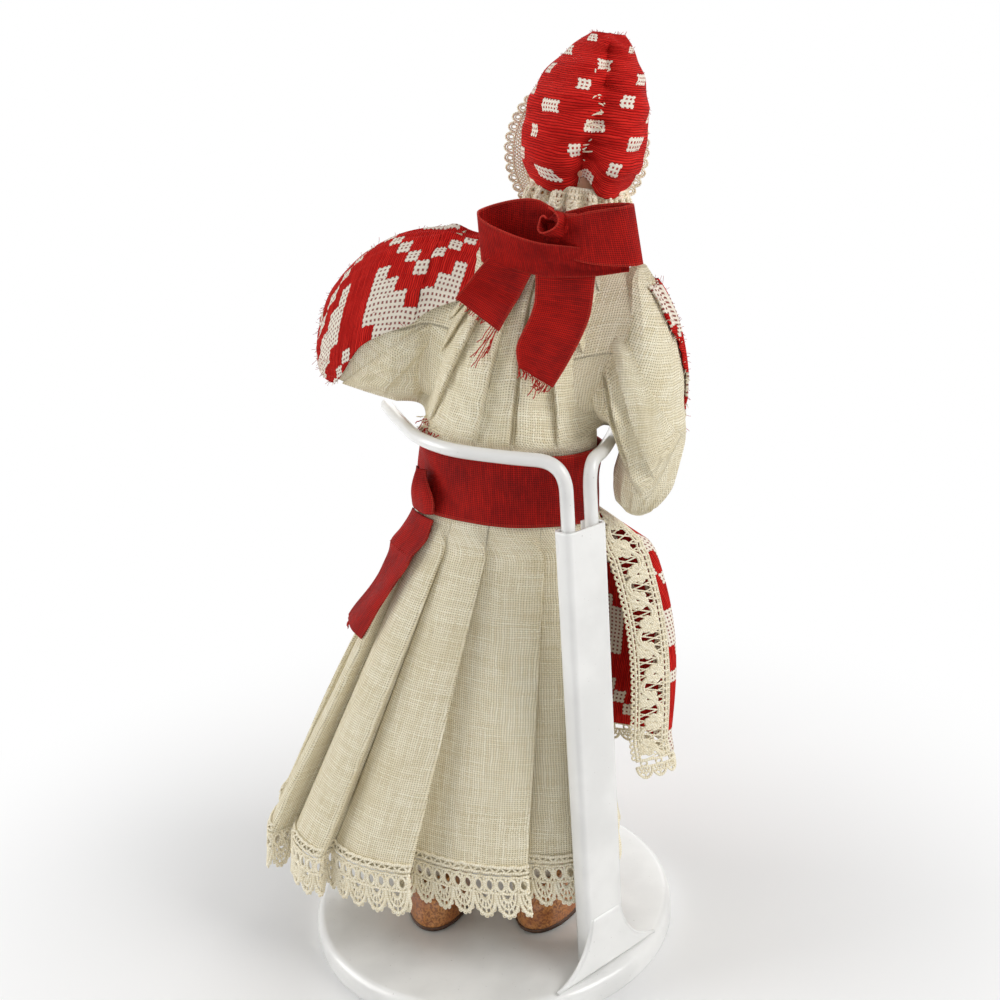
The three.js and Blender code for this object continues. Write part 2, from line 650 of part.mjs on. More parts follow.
const arms = [
  { name: 'left', side: 1, stations: leftSleeve, point: leftSleevePoint, towards: 1,
    panel: { stations: leftSleeve.slice(0, -1), edge: 180 },
    elbow: vec(20, -6, 22), wrist: vec(8, -18, 13) },
  { name: 'right', side: -1, stations: rightSleeve, point: rightSleevePoint, towards: -1,
    panel: { stations: rightSleeve.slice(1, -3), edge: 270 },
    elbow: vec(17.6, 1, 15), wrist: vec(16.5, -16, 9) },
];
arms.forEach(({ name, side, stations, point, towards, panel, elbow, wrist }) => {
  const outside = (p) => vec(side * (sleeveFace + p.x), p.y, p.z);
  const shoulder = vec(side * sleeveFace, ARM_PIVOT_Y, ARM_PIVOT_RISE - ARM_RADIUS);
  const bend = outside(elbow);
  const end = outside(wrist);
  const forearm = new THREE.Vector3().subVectors(end, bend).normalize();
  const armForm = (grow) => join(
    limb([[shoulder, ARM_RADIUS], [bend, ARM_RADIUS]], 12, grow),
    limb([[bend, ARM_RADIUS], [end, WRIST_RADIUS]], 12, grow),
  );
  place(bust, `arm_${name}`, cut(armForm(0), inwards(side)), linen);
  place(bust, `sleeve_${name}`, cut(sleeveForm(stations, point, 0, towards), armForm(CLEARANCE)), linen);
  place(bust, `sleeve_panel_${name}`, sleevePanel(panel.stations, point, panel.edge), weave);

  const cuffInner = WRIST_RADIUS + CLEARANCE;
  const cuffOuter = cuffInner + 1.6;
  const cuff = new THREE.LatheGeometry([
    new THREE.Vector2(cuffInner, -CUFF_LENGTH / 2),
    new THREE.Vector2(cuffOuter, -CUFF_LENGTH / 2),
    new THREE.Vector2(cuffOuter + 0.8, 0),
    new THREE.Vector2(cuffOuter, CUFF_LENGTH / 2),
    new THREE.Vector2(cuffInner, CUFF_LENGTH / 2),
    new THREE.Vector2(cuffInner, -CUFF_LENGTH / 2),
  ], 12);
  cuff.applyQuaternion(new THREE.Quaternion().setFromUnitVectors(vec(0, 1, 0), forearm));
  const cuffPoint = end.clone();
  cuff.translate(cuffPoint.x, cuffPoint.y, cuffPoint.z);
  const sleeveRoom = sleeveForm(stations, point, CLEARANCE, towards);
  place(bust, `cuff_${name}`, cut(cuff, sleeveRoom, armForm(CLEARANCE)), weave);

  const palm = (share) =>
    end.clone().addScaledVector(forearm, CUFF_LENGTH / 2 + CLEARANCE + share * HAND_LENGTH);
  place(bust, `hand_${name}`, cut(
    limb([
      [palm(0), WRIST_RADIUS],
      [palm(0.5), WRIST_RADIUS + 0.7],
      [palm(0.9), WRIST_RADIUS - 1],
    ], 12, 0, 0.7),
    armForm(CLEARANCE), cuff,
  ), skin);
});

// Head, hair and cap, in the head's own frame above the neck
const headStations = [
  { z: 0.022, a: 0.32, b: 0.3 },
  { z: 0.1, a: 0.66, b: 0.66 },
  { z: 0.25, a: 0.88, b: 0.89 },
  { z: 0.46, a: 1, b: 1 },
  { z: 0.66, a: 0.98, b: 1 },
  { z: 0.85, a: 0.76, b: 0.8 },
  { z: 0.96, a: 0.4, b: 0.42 },
  { z: 1, a: 0.12, b: 0.12 },
];
const headSides = 24;
function headForm(grow) {
  return loft(headStations.map(({ z, a, b }, i) => oval({
    x: HEAD_SHIFT, y: HEAD_FORWARD,
    z: z * HEAD_HEIGHT + (i === 0 ? -grow : grow * (i === headStations.length - 1)),
    a: a * HEAD_WIDTH / 2 + grow, b: b * HEAD_DEPTH / 2 + grow,
  }, headSides)));
}
const wide = 2 * HEAD_HEIGHT;
const faceOpening = (edge, top) => box(vec(-wide, -wide, -wide), vec(wide, HEAD_FORWARD - edge, top));
const below = (z) => box(vec(-wide, -wide, -wide), vec(wide, wide, z));
place(headTurn, 'head', headForm(0), skin);
place(headTurn, 'hair', cut(
  headForm(CLEARANCE + HAIR),
  headForm(CLEARANCE),
  faceOpening(FACE_EDGE - HEAD_FORWARD, BROW_RISE),
  below(2.5),
), flax);

// The cap follows the head, rises to a soft point and is drawn in along a crease down its back
const capStations = [
  { z: CAP_BOTTOM, head: 0.2, swell: 0.2, y: 0 },
  { z: CAP_BOTTOM + 4, head: 0.32, swell: 1, y: 0 },
  { z: 0.46 * HEAD_HEIGHT, head: 0.46, swell: 1.1, y: 0 },
  { z: 0.66 * HEAD_HEIGHT, head: 0.66, swell: 1.2, y: 0 },
  { z: 0.85 * HEAD_HEIGHT, head: 0.85, swell: 2.2, y: 0 },
  { z: HEAD_HEIGHT, head: 0.94, swell: 3.2, y: -0.5 },
  { z: HEAD_HEIGHT + 0.6 * CAP_TIP, head: 0.98, swell: 2, y: -1.5 },
  { z: HEAD_HEIGHT + CAP_TIP, head: 1, swell: 0.2, y: -2.5 },
];
function headShare(z) {
  const above = Math.max(1, headStations.findIndex((station) => station.z >= z));
  const [low, high] = [headStations[above - 1], headStations[above]];
  const t = (z - low.z) / (high.z - low.z);
  return { a: lerp(low.a, high.a, t), b: lerp(low.b, high.b, t) };
}
const capLining = 2 * CLEARANCE + HAIR;
const creaseWidth = 0.5;
const capForm = loft(capStations.map(({ z, head, swell, y }, i) => {
  const share = headShare(head);
  const grow = capLining + swell * CAP_WALL;
  const deep = i === capStations.length - 1 ? 0 : CAP_CREASE;
  return oval({
    x: HEAD_SHIFT, y: HEAD_FORWARD + y, z,
    a: share.a * HEAD_WIDTH / 2 + grow, b: share.b * HEAD_DEPTH / 2 + grow,
  }, headSides, (angle) => -deep * Math.exp(-(((angle - Math.PI / 2) / creaseWidth) ** 2)));
}));
place(headTurn, 'cap', cut(capForm, headForm(capLining), faceOpening(FACE_EDGE, wide)), weave);

// Lace round the face edge, as an arch in front of the cap, and gathered lace below the cap at the nape
const faceShare = Math.sqrt(1 - (FACE_EDGE / (HEAD_DEPTH / 2 + capLining + CAP_WALL)) ** 2);
const archIn = {
  a: faceShare * (HEAD_WIDTH / 2 + capLining),
  c: faceShare * (0.54 * HEAD_HEIGHT + capLining),
};
const archOut = { a: archIn.a + CAP_WALL + CAP_LACE_WIDTH, c: archIn.c + CAP_LACE_WIDTH / 2 };
function arch({ a, c }, y) {
  return Array.from({ length: 25 }, (_, i) => {
    const angle = THREE.MathUtils.degToRad(lerp(-48, 228, i / 24));
    return vec(HEAD_SHIFT + a * Math.cos(angle), y, 0.46 * HEAD_HEIGHT + c * Math.sin(angle));
  });
}
const laceFront = HEAD_FORWARD - FACE_EDGE - CLEARANCE;
const laceFlare = 1.5;
place(headTurn, 'cap_lace', wall(
  [arch(archIn, laceFront - LACE), arch(archOut, laceFront - LACE - laceFlare)],
  [arch(archIn, laceFront), arch(archOut, laceFront - laceFlare)],
  false,
), lace);

const napeTop = CAP_BOTTOM - CLEARANCE;
const napeShare = headShare(0.2);
const napeRing = (z, grow) => oval({
  x: HEAD_SHIFT, y: HEAD_FORWARD, z,
  a: napeShare.a * HEAD_WIDTH / 2 + grow, b: napeShare.b * HEAD_DEPTH / 2 + grow,
}, 36, (angle) => 0.35 * Math.cos(18 * angle)).slice(1, 18);
const napeGrow = capLining + CLEARANCE;
place(headTurn, 'nape_lace', wall(
  [napeRing(napeTop, napeGrow + LACE), napeRing(napeTop - NAPE_LACE_DROP, napeGrow + LACE)],
  [napeRing(napeTop, napeGrow), napeRing(napeTop - NAPE_LACE_DROP, napeGrow)],
  false,
), lace);

// Neck ribbon and bow
const ribbonTop = NECK_RISE - CLEARANCE;
const ribbonBottom = COLLAR_RISE + CLEARANCE;
const neckMiddle = ARM_PIVOT_Y / 2;
const neckRing = (z, grow) => oval({
  x: NECK_X / 2, y: neckMiddle, z,
  a: COLLAR_WIDTH / 2 + CLEARANCE + grow, b: BOW_Y - CLEARANCE - RIBBON - neckMiddle + grow,
}, 28);
place(bust, 'neck_ribbon', wall(
  [ribbonBottom, ribbonTop].map((z) => neckRing(z, RIBBON)),
  [ribbonBottom, ribbonTop].map((z) => neckRing(z, 0)),
  true,
), ribbon);

const bowMiddle = BOW_Y + BOW_DEPTH / 2;
place(bow, 'bow_knot', loft([-1, -0.7, 0, 0.7, 1].map((t) => oval({
  y: bowMiddle, z: t * KNOT_HEIGHT / 2,
  a: KNOT_WIDTH / 2 * (1 - 0.25 * t * t), b: BOW_DEPTH / 2 * (1 - 0.25 * t * t),
}, 16))), ribbon);

// One loop of the bow: a ribbon folded into a drop-shaped loop, standing on edge
function bowLoop(side) {
  const start = KNOT_WIDTH / 2 + CLEARANCE;
  const half = BOW_DEPTH / 2;
  const ring = (inset, z) => {
    const path = new THREE.Path();
    const root = start + inset;
    const tip = start + LOOP_LENGTH - inset;
    const pinch = half * 0.45 - inset;
    const belly = half - inset;
    path.moveTo(side * root, pinch);
    path.bezierCurveTo(side * lerp(root, tip, 0.4), belly, side * tip, belly * 1.3, side * tip, 0);
    path.bezierCurveTo(side * tip, -belly * 1.3, side * lerp(root, tip, 0.4), -belly, side * root, -pinch);
    return path.getPoints(8).map((p) => vec(p.x, bowMiddle + p.y, z));
  };
  const edges = [-BOW_RIBBON / 2, BOW_RIBBON / 2];
  return wall(edges.map((z) => ring(0, z)), edges.map((z) => ring(RIBBON, z)), true);
}
place(bow, 'bow_loop_left', bowLoop(1), ribbon);
place(bow, 'bow_loop_right', bowLoop(-1), ribbon);

// The tails fall from the knot over the back of the blouse, the right one over the left
function bowTail(from, to, length, layer) {
  const rows = 6;
  const start = -BOW_RIBBON / 2 - CLEARANCE;
  const row = (i, lift) => [-1, 0, 1].map((t) => {
    const share = i / (rows - 1);
    const width = lerp(KNOT_WIDTH * 0.7, BOW_RIBBON, smooth(3 * share));
    const x = lerp(from, to, share) + t * width / 2;
    const z = start - length * share;
    const rise = BOW_RISE + z * Math.cos(BOW_TILT) + x * Math.sin(BOW_TILT);
    const back = blouseBack(THREE.MathUtils.clamp(rise, bendStart + CLEARANCE, COLLAR_RISE));
    return vec(x, Math.max(bowMiddle, back + 2 * CLEARANCE) + layer + lift, z);
  });
  const index = Array.from({ length: rows }, (_, i) => i);
  return wall(index.map((i) => row(i, RIBBON)), index.map((i) => row(i, 0)), false);
}
const tailRoot = KNOT_WIDTH / 4;
place(bow, 'bow_tail_left', bowTail(tailRoot, tailRoot + 14, TAIL_LEFT_LENGTH, 0), ribbon);
const overTail = RIBBON + CLEARANCE;
place(bow, 'bow_tail_right', bowTail(-2 * tailRoot, -tailRoot, TAIL_RIGHT_LENGTH, overTail), ribbon);

// Stand base: a pressed pan with a rounded edge, filled by a board disc
const baseProfile = new THREE.Path();
baseProfile.moveTo(0, BASE_HEIGHT);
baseProfile.lineTo(BASE_RADIUS - BASE_EDGE, BASE_HEIGHT);
baseProfile.absarc(BASE_RADIUS - BASE_EDGE, BASE_HEIGHT - BASE_EDGE, BASE_EDGE, Math.PI / 2, 0, true);
baseProfile.lineTo(BASE_RADIUS, 0);
baseProfile.lineTo(BASE_RADIUS - BASE_SHEET, 0);
baseProfile.lineTo(BASE_RADIUS - BASE_SHEET, BASE_HEIGHT - BASE_EDGE);
baseProfile.absarc(
  BASE_RADIUS - BASE_EDGE, BASE_HEIGHT - BASE_EDGE, BASE_EDGE - BASE_SHEET, 0, Math.PI / 2, false,
);
baseProfile.lineTo(0, BASE_HEIGHT - BASE_SHEET);
const baseSegments = 44;
const pan = new THREE.LatheGeometry(baseProfile.getPoints(2).reverse(), baseSegments);
place(model, 'stand_base', pan.rotateX(Math.PI / 2), enamel);

const padHeight = BASE_HEIGHT - BASE_SHEET - CLEARANCE;
const padRadius = BASE_RADIUS - BASE_SHEET - CLEARANCE;
const padStep = Math.min(padHeight, BASE_HEIGHT - BASE_EDGE);
const padInset = BASE_EDGE - BASE_SHEET;
place(model, 'base_pad', new THREE.LatheGeometry([
  new THREE.Vector2(0, 0),
  new THREE.Vector2(padRadius, 0),
  new THREE.Vector2(padRadius, padStep - CLEARANCE),
  new THREE.Vector2(padRadius - padInset, padHeight),
  new THREE.Vector2(0, padHeight),
], baseSegments).rotateX(Math.PI / 2), board);

// Stand post: sheet rolled round the two wire legs, with a foot that spreads to the rim of the base
const post = new THREE.Group();
const postDistance = BASE_RADIUS - POST_INSET;
post.position.set(
  postDistance * Math.cos(POST_BEARING),
  postDistance * Math.sin(POST_BEARING),
  BASE_HEIGHT + CLEARANCE,
);
post.rotation.z = POST_BEARING - Math.PI / 2;
model.add(post);
const pocket = WIRE + 2 * WIRE_PLAY;
const postDepth = pocket + 2 * POST_SHEET;
const postHalf = LEG_SPACING / 2 + pocket / 2 + POST_SHEET;

// Rolled channel section with its slot towards the doll, drawn with the outer sheet along y = 0
function postSection() {
  const shape = new THREE.Shape();
  const inner = POST_ROLL - POST_SHEET * 0.6;
  const near = -postDepth;
  shape.moveTo(-postHalf + POST_ROLL, 0);
  shape.lineTo(postHalf - POST_ROLL, 0);
  shape.absarc(postHalf - POST_ROLL, -POST_ROLL, POST_ROLL, Math.PI / 2, 0, true);
  shape.lineTo(postHalf, near + POST_ROLL);
  shape.absarc(postHalf - POST_ROLL, near + POST_ROLL, POST_ROLL, 0, -Math.PI / 2, true);
  shape.lineTo(postHalf - POST_LIP, near);
  shape.lineTo(postHalf - POST_LIP, near + POST_SHEET);
  shape.lineTo(postHalf - POST_SHEET - inner, near + POST_SHEET);
  shape.lineTo(postHalf - POST_SHEET, near + POST_SHEET + inner);
  shape.lineTo(postHalf - POST_SHEET, -POST_SHEET - inner);
  shape.lineTo(postHalf - POST_SHEET - inner, -POST_SHEET);
  shape.lineTo(-postHalf + POST_SHEET + inner, -POST_SHEET);
  shape.lineTo(-postHalf + POST_SHEET, -POST_SHEET - inner);
  shape.lineTo(-postHalf + POST_SHEET, near + POST_SHEET + inner);
  shape.lineTo(-postHalf + POST_SHEET + inner, near + POST_SHEET);
  shape.lineTo(-postHalf + POST_LIP, near + POST_SHEET);
  shape.lineTo(-postHalf + POST_LIP, near);
  shape.lineTo(-postHalf + POST_ROLL, near);
  shape.absarc(-postHalf + POST_ROLL, near + POST_ROLL, POST_ROLL, -Math.PI / 2, -Math.PI, true);
  shape.lineTo(-postHalf, -POST_ROLL);
  shape.absarc(-postHalf + POST_ROLL, -POST_ROLL, POST_ROLL, Math.PI, Math.PI / 2, true);
  return shape;
}
function footPlate() {
  const shape = new THREE.Shape();
  const flat = postHalf - POST_ROLL;
  shape.moveTo(-FOOT_WIDTH / 2, 0);
  shape.lineTo(FOOT_WIDTH / 2, 0);
  shape.quadraticCurveTo(postHalf + 0.5, FOOT_HEIGHT * 0.15, flat, FOOT_HEIGHT);
  shape.lineTo(-flat, FOOT_HEIGHT);
  shape.quadraticCurveTo(-postHalf - 0.5, FOOT_HEIGHT * 0.15, -FOOT_WIDTH / 2, 0);
  const plate = new THREE.ExtrudeGeometry(shape, {
    depth: POST_SHEET, bevelEnabled: false, curveSegments: 6,
  });
  return plate.rotateX(Math.PI / 2);
}
place(post, 'stand_post', join(
  new THREE.ExtrudeGeometry(postSection(), { depth: POST_HEIGHT, bevelEnabled: false, curveSegments: 3 }),
  footPlate(),
), enamel);

// Clip: one coated wire, up both legs and round the doll's waist, open at the front
model.updateMatrixWorld(true);
const ringPoint = (x, y) => waist.localToWorld(vec(x, y, RING_HEIGHT));
const legTop = (side) => post.localToWorld(vec(side * LEG_SPACING / 2, -postDepth / 2, 0));
const leftLeg = legTop(1);
const rightLeg = legTop(-1);
const leftArm = [
  ringPoint(sashOuter.a + RING_SIDE + RING_SPREAD, -RING_REACH),
  ringPoint(sashOuter.a + RING_SIDE, 0.7),
  ringPoint(sashOuter.a * 0.8, sashOuter.b - 3),
  ringPoint(sashOuter.a * 0.38, sashOuter.b + RING_BACK - 1.9),
  ringPoint(-sashOuter.a * 0.16, sashOuter.b + RING_BACK),
];
const rightArm = [
  ringPoint(-sashOuter.a - RING_RIGHT, sashOuter.b - 6),
  ringPoint(-sashOuter.a - RING_RIGHT, 0),
  ringPoint(-sashOuter.a - RING_RIGHT + 0.6, -sashOuter.b * 0.6),
  ringPoint(-sashOuter.a - RING_RIGHT + 1.6, -sashOuter.b),
];
const legFoot = (leg) => vec(leg.x, leg.y, post.position.z + POST_HEIGHT - LEG_LENGTH);
const turn = (leg, next) => {
  const corner = vec(leg.x, leg.y, next.z);
  const towards = new THREE.Vector3().subVectors(next, corner).normalize();
  return {
    corner,
    low: corner.clone().add(vec(0, 0, -RING_CORNER)),
    out: corner.clone().addScaledVector(towards, Math.min(RING_CORNER, 0.5 * next.distanceTo(corner))),
  };
};
const leftTurn = turn(leftLeg, leftArm[leftArm.length - 1]);
const rightTurn = turn(rightLeg, rightArm[0]);
const bottomMiddle = new THREE.Vector3().lerpVectors(legFoot(leftLeg), legFoot(rightLeg), 0.5);
bottomMiddle.z -= LEG_SPACING / 2;
const route = new THREE.CurvePath();
route.add(new THREE.CatmullRomCurve3([...leftArm, leftTurn.out]));
route.add(new THREE.QuadraticBezierCurve3(leftTurn.out, leftTurn.corner, leftTurn.low));
route.add(new THREE.LineCurve3(leftTurn.low, legFoot(leftLeg)));
[[leftLeg, bottomMiddle], [rightLeg, bottomMiddle]].forEach(([leg, middle], i) => {
  const corner = vec(leg.x, leg.y, middle.z);
  const ends = i === 0 ? [legFoot(leg), corner, middle] : [middle, corner, legFoot(leg)];
  route.add(new THREE.QuadraticBezierCurve3(...ends));
});
route.add(new THREE.LineCurve3(legFoot(rightLeg), rightTurn.low));
route.add(new THREE.QuadraticBezierCurve3(rightTurn.low, rightTurn.corner, rightTurn.out));
route.add(new THREE.CatmullRomCurve3([rightTurn.out, ...rightArm]));
const wireSection = new THREE.Shape().absarc(0, 0, WIRE / 2, 0, 2 * Math.PI, false);
place(model, 'clip_wire', new THREE.ExtrudeGeometry(wireSection, {
  steps: 72, curveSegments: 4, bevelEnabled: false, extrudePath: route,
}), enamel);

export default model;
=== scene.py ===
"""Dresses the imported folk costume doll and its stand, and sets up floor, light and camera."""
import math

import bmesh
import bpy
import numpy as np
from mathutils import Matrix, Vector


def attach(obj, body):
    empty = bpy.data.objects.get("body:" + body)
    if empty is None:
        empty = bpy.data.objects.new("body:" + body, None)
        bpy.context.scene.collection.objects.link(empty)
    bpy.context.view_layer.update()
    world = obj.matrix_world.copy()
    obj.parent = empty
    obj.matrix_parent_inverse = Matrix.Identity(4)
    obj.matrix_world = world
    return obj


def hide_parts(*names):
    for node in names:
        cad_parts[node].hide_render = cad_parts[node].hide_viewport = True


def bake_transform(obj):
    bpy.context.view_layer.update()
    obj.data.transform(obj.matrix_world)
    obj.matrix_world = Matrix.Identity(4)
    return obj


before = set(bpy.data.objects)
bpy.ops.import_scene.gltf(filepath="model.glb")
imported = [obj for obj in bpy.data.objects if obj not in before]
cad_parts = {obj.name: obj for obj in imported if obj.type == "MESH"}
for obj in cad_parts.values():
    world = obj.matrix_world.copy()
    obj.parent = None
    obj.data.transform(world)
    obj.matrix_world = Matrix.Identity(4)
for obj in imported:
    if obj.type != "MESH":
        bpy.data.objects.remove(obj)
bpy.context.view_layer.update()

# Sizes in millimetres, the same as the part's own
MM = 0.001
CLEARANCE = 0.3
BASE_HEIGHT = 6.0
BASE_RADIUS = 49.0
BASE_SHEET = 0.8
BASE_EDGE = 2.4
DOLL_FLOOR = BASE_HEIGHT + CLEARANCE
POST_BEARING = math.radians(145.5)
POST_DISTANCE = 45.2
POST_HEIGHT = 116.0
POST_SHEET = 0.8
POST_ROLL = 1.5
POST_LIP = 3.6
LEG_SPACING = 7.3
FOOT_WIDTH = 34.0
FOOT_HEIGHT = 15.0
WIRE = 3.2
WIRE_PLAY = 0.2
LEG_LENGTH = 56.0
RING_HEIGHT = 10.4
RING_CORNER = 7.0
SASH_WIDTH = 17.5
SASH_A = 23.0
SASH_B = 16.8
WAIST_A = 21.7
WAIST_B = 15.5
SKIRT_TOP = -9.05
HEM_WIDTH = 91.0
HEM_DEPTH = 62.0
HEM_SQUARENESS = 2.5
PLEATS = 12
PLEAT_DEPTH = 2.4
APRON_LENGTH = 0.86
ARM_FACE = 19.4
BEND_START = 9.05
BEND_LENGTH = 24.0
BUST_LEAN = math.radians(12)
WAIST_TILT = math.radians(5)
HEAD_HEIGHT = 28.0
HEAD_WIDTH = 20.5
HEAD_DEPTH = 22.0
BOW_Y = 15.5
BOW_RISE = 60.5
SHOE_WIDTH = 17.5
SHOE_LENGTH = 34.0
SHOE_HEIGHT = 13.5

# The bow's ribbon, and how far the bow is turned from the bust
BOW_RIBBON = 13.5
RIBBON_THICK = 0.42
BOW_TURN = math.radians(11)
# Lift of the apron's cloth, fall of cloth past a round form, and shift of colour from thread to thread
APRON_OFF = 0.5
FALL_AWAY = 1.4
THREAD_STEP = 0.37
TAU = 2 * math.pi

rng = np.random.default_rng(11)


def srgb(red, green, blue):
    """A colour given in 0 to 255, in the linear values that shaders take."""
    share = np.array([red, green, blue]) / 255
    linear = np.where(share <= 0.04045, share / 12.92, ((share + 0.055) / 1.055) ** 2.4)
    return (*linear.tolist(), 1.0)


def lerp(a, b, t):
    return a + (b - a) * t


def smooth(t):
    t = np.clip(t, 0, 1)
    return t * t * (3 - 2 * t)


def hermite(a, b, leave, arrive, t):
    """From a to b as t runs from 0 to 1, leaving and arriving along the given directions."""
    cube, square = t ** 3, t ** 2
    return ((2 * cube - 3 * square + 1) * a + (cube - 2 * square + t) * leave
            + (3 * square - 2 * cube) * b + (cube - square) * arrive)


def stations(at, keys, values):
    """Smooth values between stations, without swinging past them."""
    keys = np.asarray(keys, float)
    values = np.asarray(values, float)
    step = np.diff(keys)
    slope = np.diff(values) / step
    tangent = np.zeros_like(values)
    same = slope[1:] * slope[:-1] > 0
    both = np.where(same, slope[1:] + slope[:-1], 1)
    tangent[1:-1] = np.where(same, 2 * slope[1:] * slope[:-1] / both, 0)
    tangent[0] = slope[0]
    tangent[-1] = slope[-1]
    at = np.asarray(at, float)
    i = np.clip(np.searchsorted(keys, at) - 1, 0, len(step) - 1)
    t = np.clip((at - keys[i]) / step[i], 0, 1)
    return hermite(values[i], values[i + 1], step[i] * tangent[i], step[i] * tangent[i + 1], t)


# Frames of the doll

def lean(degrees):
    """Axes that lean towards -X, as columns."""
    a = math.radians(degrees)
    return np.array([[math.cos(a), 0, -math.sin(a)], [0, 1, 0], [math.sin(a), 0, math.cos(a)]])


def turned(degrees):
    a = math.radians(degrees)
    return np.array([[math.cos(a), -math.sin(a), 0], [math.sin(a), math.cos(a), 0], [0, 0, 1]])


class Place:
    """A frame of the doll: turns its own points into the part's."""

    def __init__(self, origin, axes):
        self.origin = np.asarray(origin, float)
        self.axes = axes

    def __call__(self, *xyz):
        points = np.stack(np.broadcast_arrays(*[np.asarray(c, float) for c in xyz]), -1)
        return points @ self.axes.T + self.origin


WAIST = Place((-12.5, 0.4, 128.0), lean(5))
BUST = Place((-8.197, 0.4, 128.926), lean(17))
HEAD = Place(BUST(-2, -2.5, 64), lean(11) @ turned(18))
BOW = Place(BUST(-5, 0, BOW_RISE), lean(6))


def bent(x, y, z):
    """A point of the upright doll on its leaning spine."""
    angle = BUST_LEAN * np.clip((z - BEND_START) / BEND_LENGTH, 0, 1)
    radius = BEND_LENGTH / BUST_LEAN
    past = np.maximum(0, z - BEND_START - BEND_LENGTH)
    rise = np.minimum(z, BEND_START) + radius * np.sin(angle) + past * np.cos(angle)
    shift = -radius * (1 - np.cos(angle)) - past * np.sin(angle)
    return WAIST(shift + x * np.cos(angle), y, rise + x * np.sin(angle))


# Measures of points

def unit(vectors):
    return vectors / np.linalg.norm(vectors, axis=-1, keepdims=True)


def ring_angles(count):
    return np.arange(count) / count * TAU


def off_from(angle, middle):
    """How far an angle lies from another, from minus to plus half a turn."""
    return np.angle(np.exp(1j * (angle - middle)))


def steps(points, axis):
    """Distances between neighbours along one axis of a grid of points."""
    return np.linalg.norm(np.diff(points, axis=axis), axis=-1)


def run_along(line):
    """Length along a line of points, from 0 at its start."""
    return np.concatenate([[0], np.cumsum(steps(line, 0))])


def run_across(points):
    """Length along each row of a grid, from 0 at its first point."""
    return np.concatenate([np.zeros((len(points), 1)), np.cumsum(steps(points, 1), 1)], 1)


def closed_rows(points):
    """A grid of closed rows with each row's first point again at its end."""
    return np.concatenate([points, points[:, :1]], 1)


def widest(points):
    """The longest row of a grid, in metres."""
    return steps(points, 1).sum(1).max() * MM


def sheet_area(points, closed=False):
    """Area of a grid of points, in square metres."""
    if closed:
        points = closed_rows(points)
    first = points[1:, 1:] - points[:-1, :-1]
    other = points[1:, :-1] - points[:-1, 1:]
    return float(np.linalg.norm(np.cross(first, other), axis=-1).sum() / 2) * MM * MM


def cloth_of(across, down):
    """Cloth coordinates of a grid, from the length across at each point and the length down at each row."""
    return np.stack([across, np.broadcast_to(down[:, None], across.shape)], -1)


# Mesh helpers

def mesh_of(name, points, faces, cloth=None):
    data = bpy.data.meshes.new(name)
    data.from_pydata((np.reshape(points, (-1, 3)) * MM).tolist(), [], faces)
    data.polygons.foreach_set("use_smooth", [True] * len(data.polygons))
    if cloth is not None:
        cloth = np.asarray(cloth, float)
        flat = np.zeros((len(data.vertices), 3), np.float32)
        flat[:, :cloth.shape[-1]] = cloth.reshape(-1, cloth.shape[-1])
        data.attributes.new("cloth", "FLOAT_VECTOR", "POINT").data.foreach_set("vector", flat.ravel())
    data.update()
    return data


def quads(rows, columns, closed=False):
    """Faces of a grid of points, round from its last column to its first if it is closed."""
    i, j = np.meshgrid(np.arange(rows - 1), np.arange(columns if closed else columns - 1), indexing="ij")
    k = (j + 1) % columns
    row, below = i * columns, (i + 1) * columns
    return np.stack([row + j, row + k, below + k, below + j], -1).reshape(-1, 4).tolist()


def put_in(name, data, material, slot, thick):
    """Puts a mesh into the scene with its finish, and with a wall where it has a thickness."""
    piece = bpy.data.objects.new(name, data)
    bpy.context.collection.objects.link(piece)
    data.materials.append(material)
    if thick:
        wall = piece.modifiers.new("thickness", "SOLIDIFY")
        wall.thickness = thick * MM
        wall.offset = 0
    return piece


def dress(name, data, material, slot, body, nodes=(), thick=0.0):
    """Puts in a mesh that rides one body and stands for the given nodes."""
    piece = put_in(name, data, material, slot, thick)
    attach(piece, body)
    if nodes:
        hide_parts(*nodes)
    return piece


def grid(name, points, cloth, material, slot, body, nodes=(), thick=0.6, closed=False):
    """A cloth of rows of points, with a wall of the given thickness."""
    data = mesh_of(name, points, quads(*points.shape[:2], closed), cloth)
    return dress(name, data, material, slot, body, nodes, thick)


def capped(points):
    """Faces of a closed tube of rings, with a face at each end."""
    rows, columns = points.shape[:2]
    faces = quads(rows, columns, True)
    faces.append(list(range(columns))[::-1])
    faces.append(list(range((rows - 1) * columns, rows * columns)))
    return faces


def turn_out(data):
    """Turns a closed mesh's faces outwards."""
    shape = bmesh.new()
    shape.from_mesh(data)
    bmesh.ops.recalc_face_normals(shape, faces=shape.faces)
    shape.to_mesh(data)
    shape.free()
    return data


def solid(name, rings, material, slot, body, nodes=(), cloth=None):
    """A closed piece of rings of points, with a face at each end."""
    return dress(name, turn_out(mesh_of(name, rings, capped(rings), cloth)), material, slot, body, nodes)


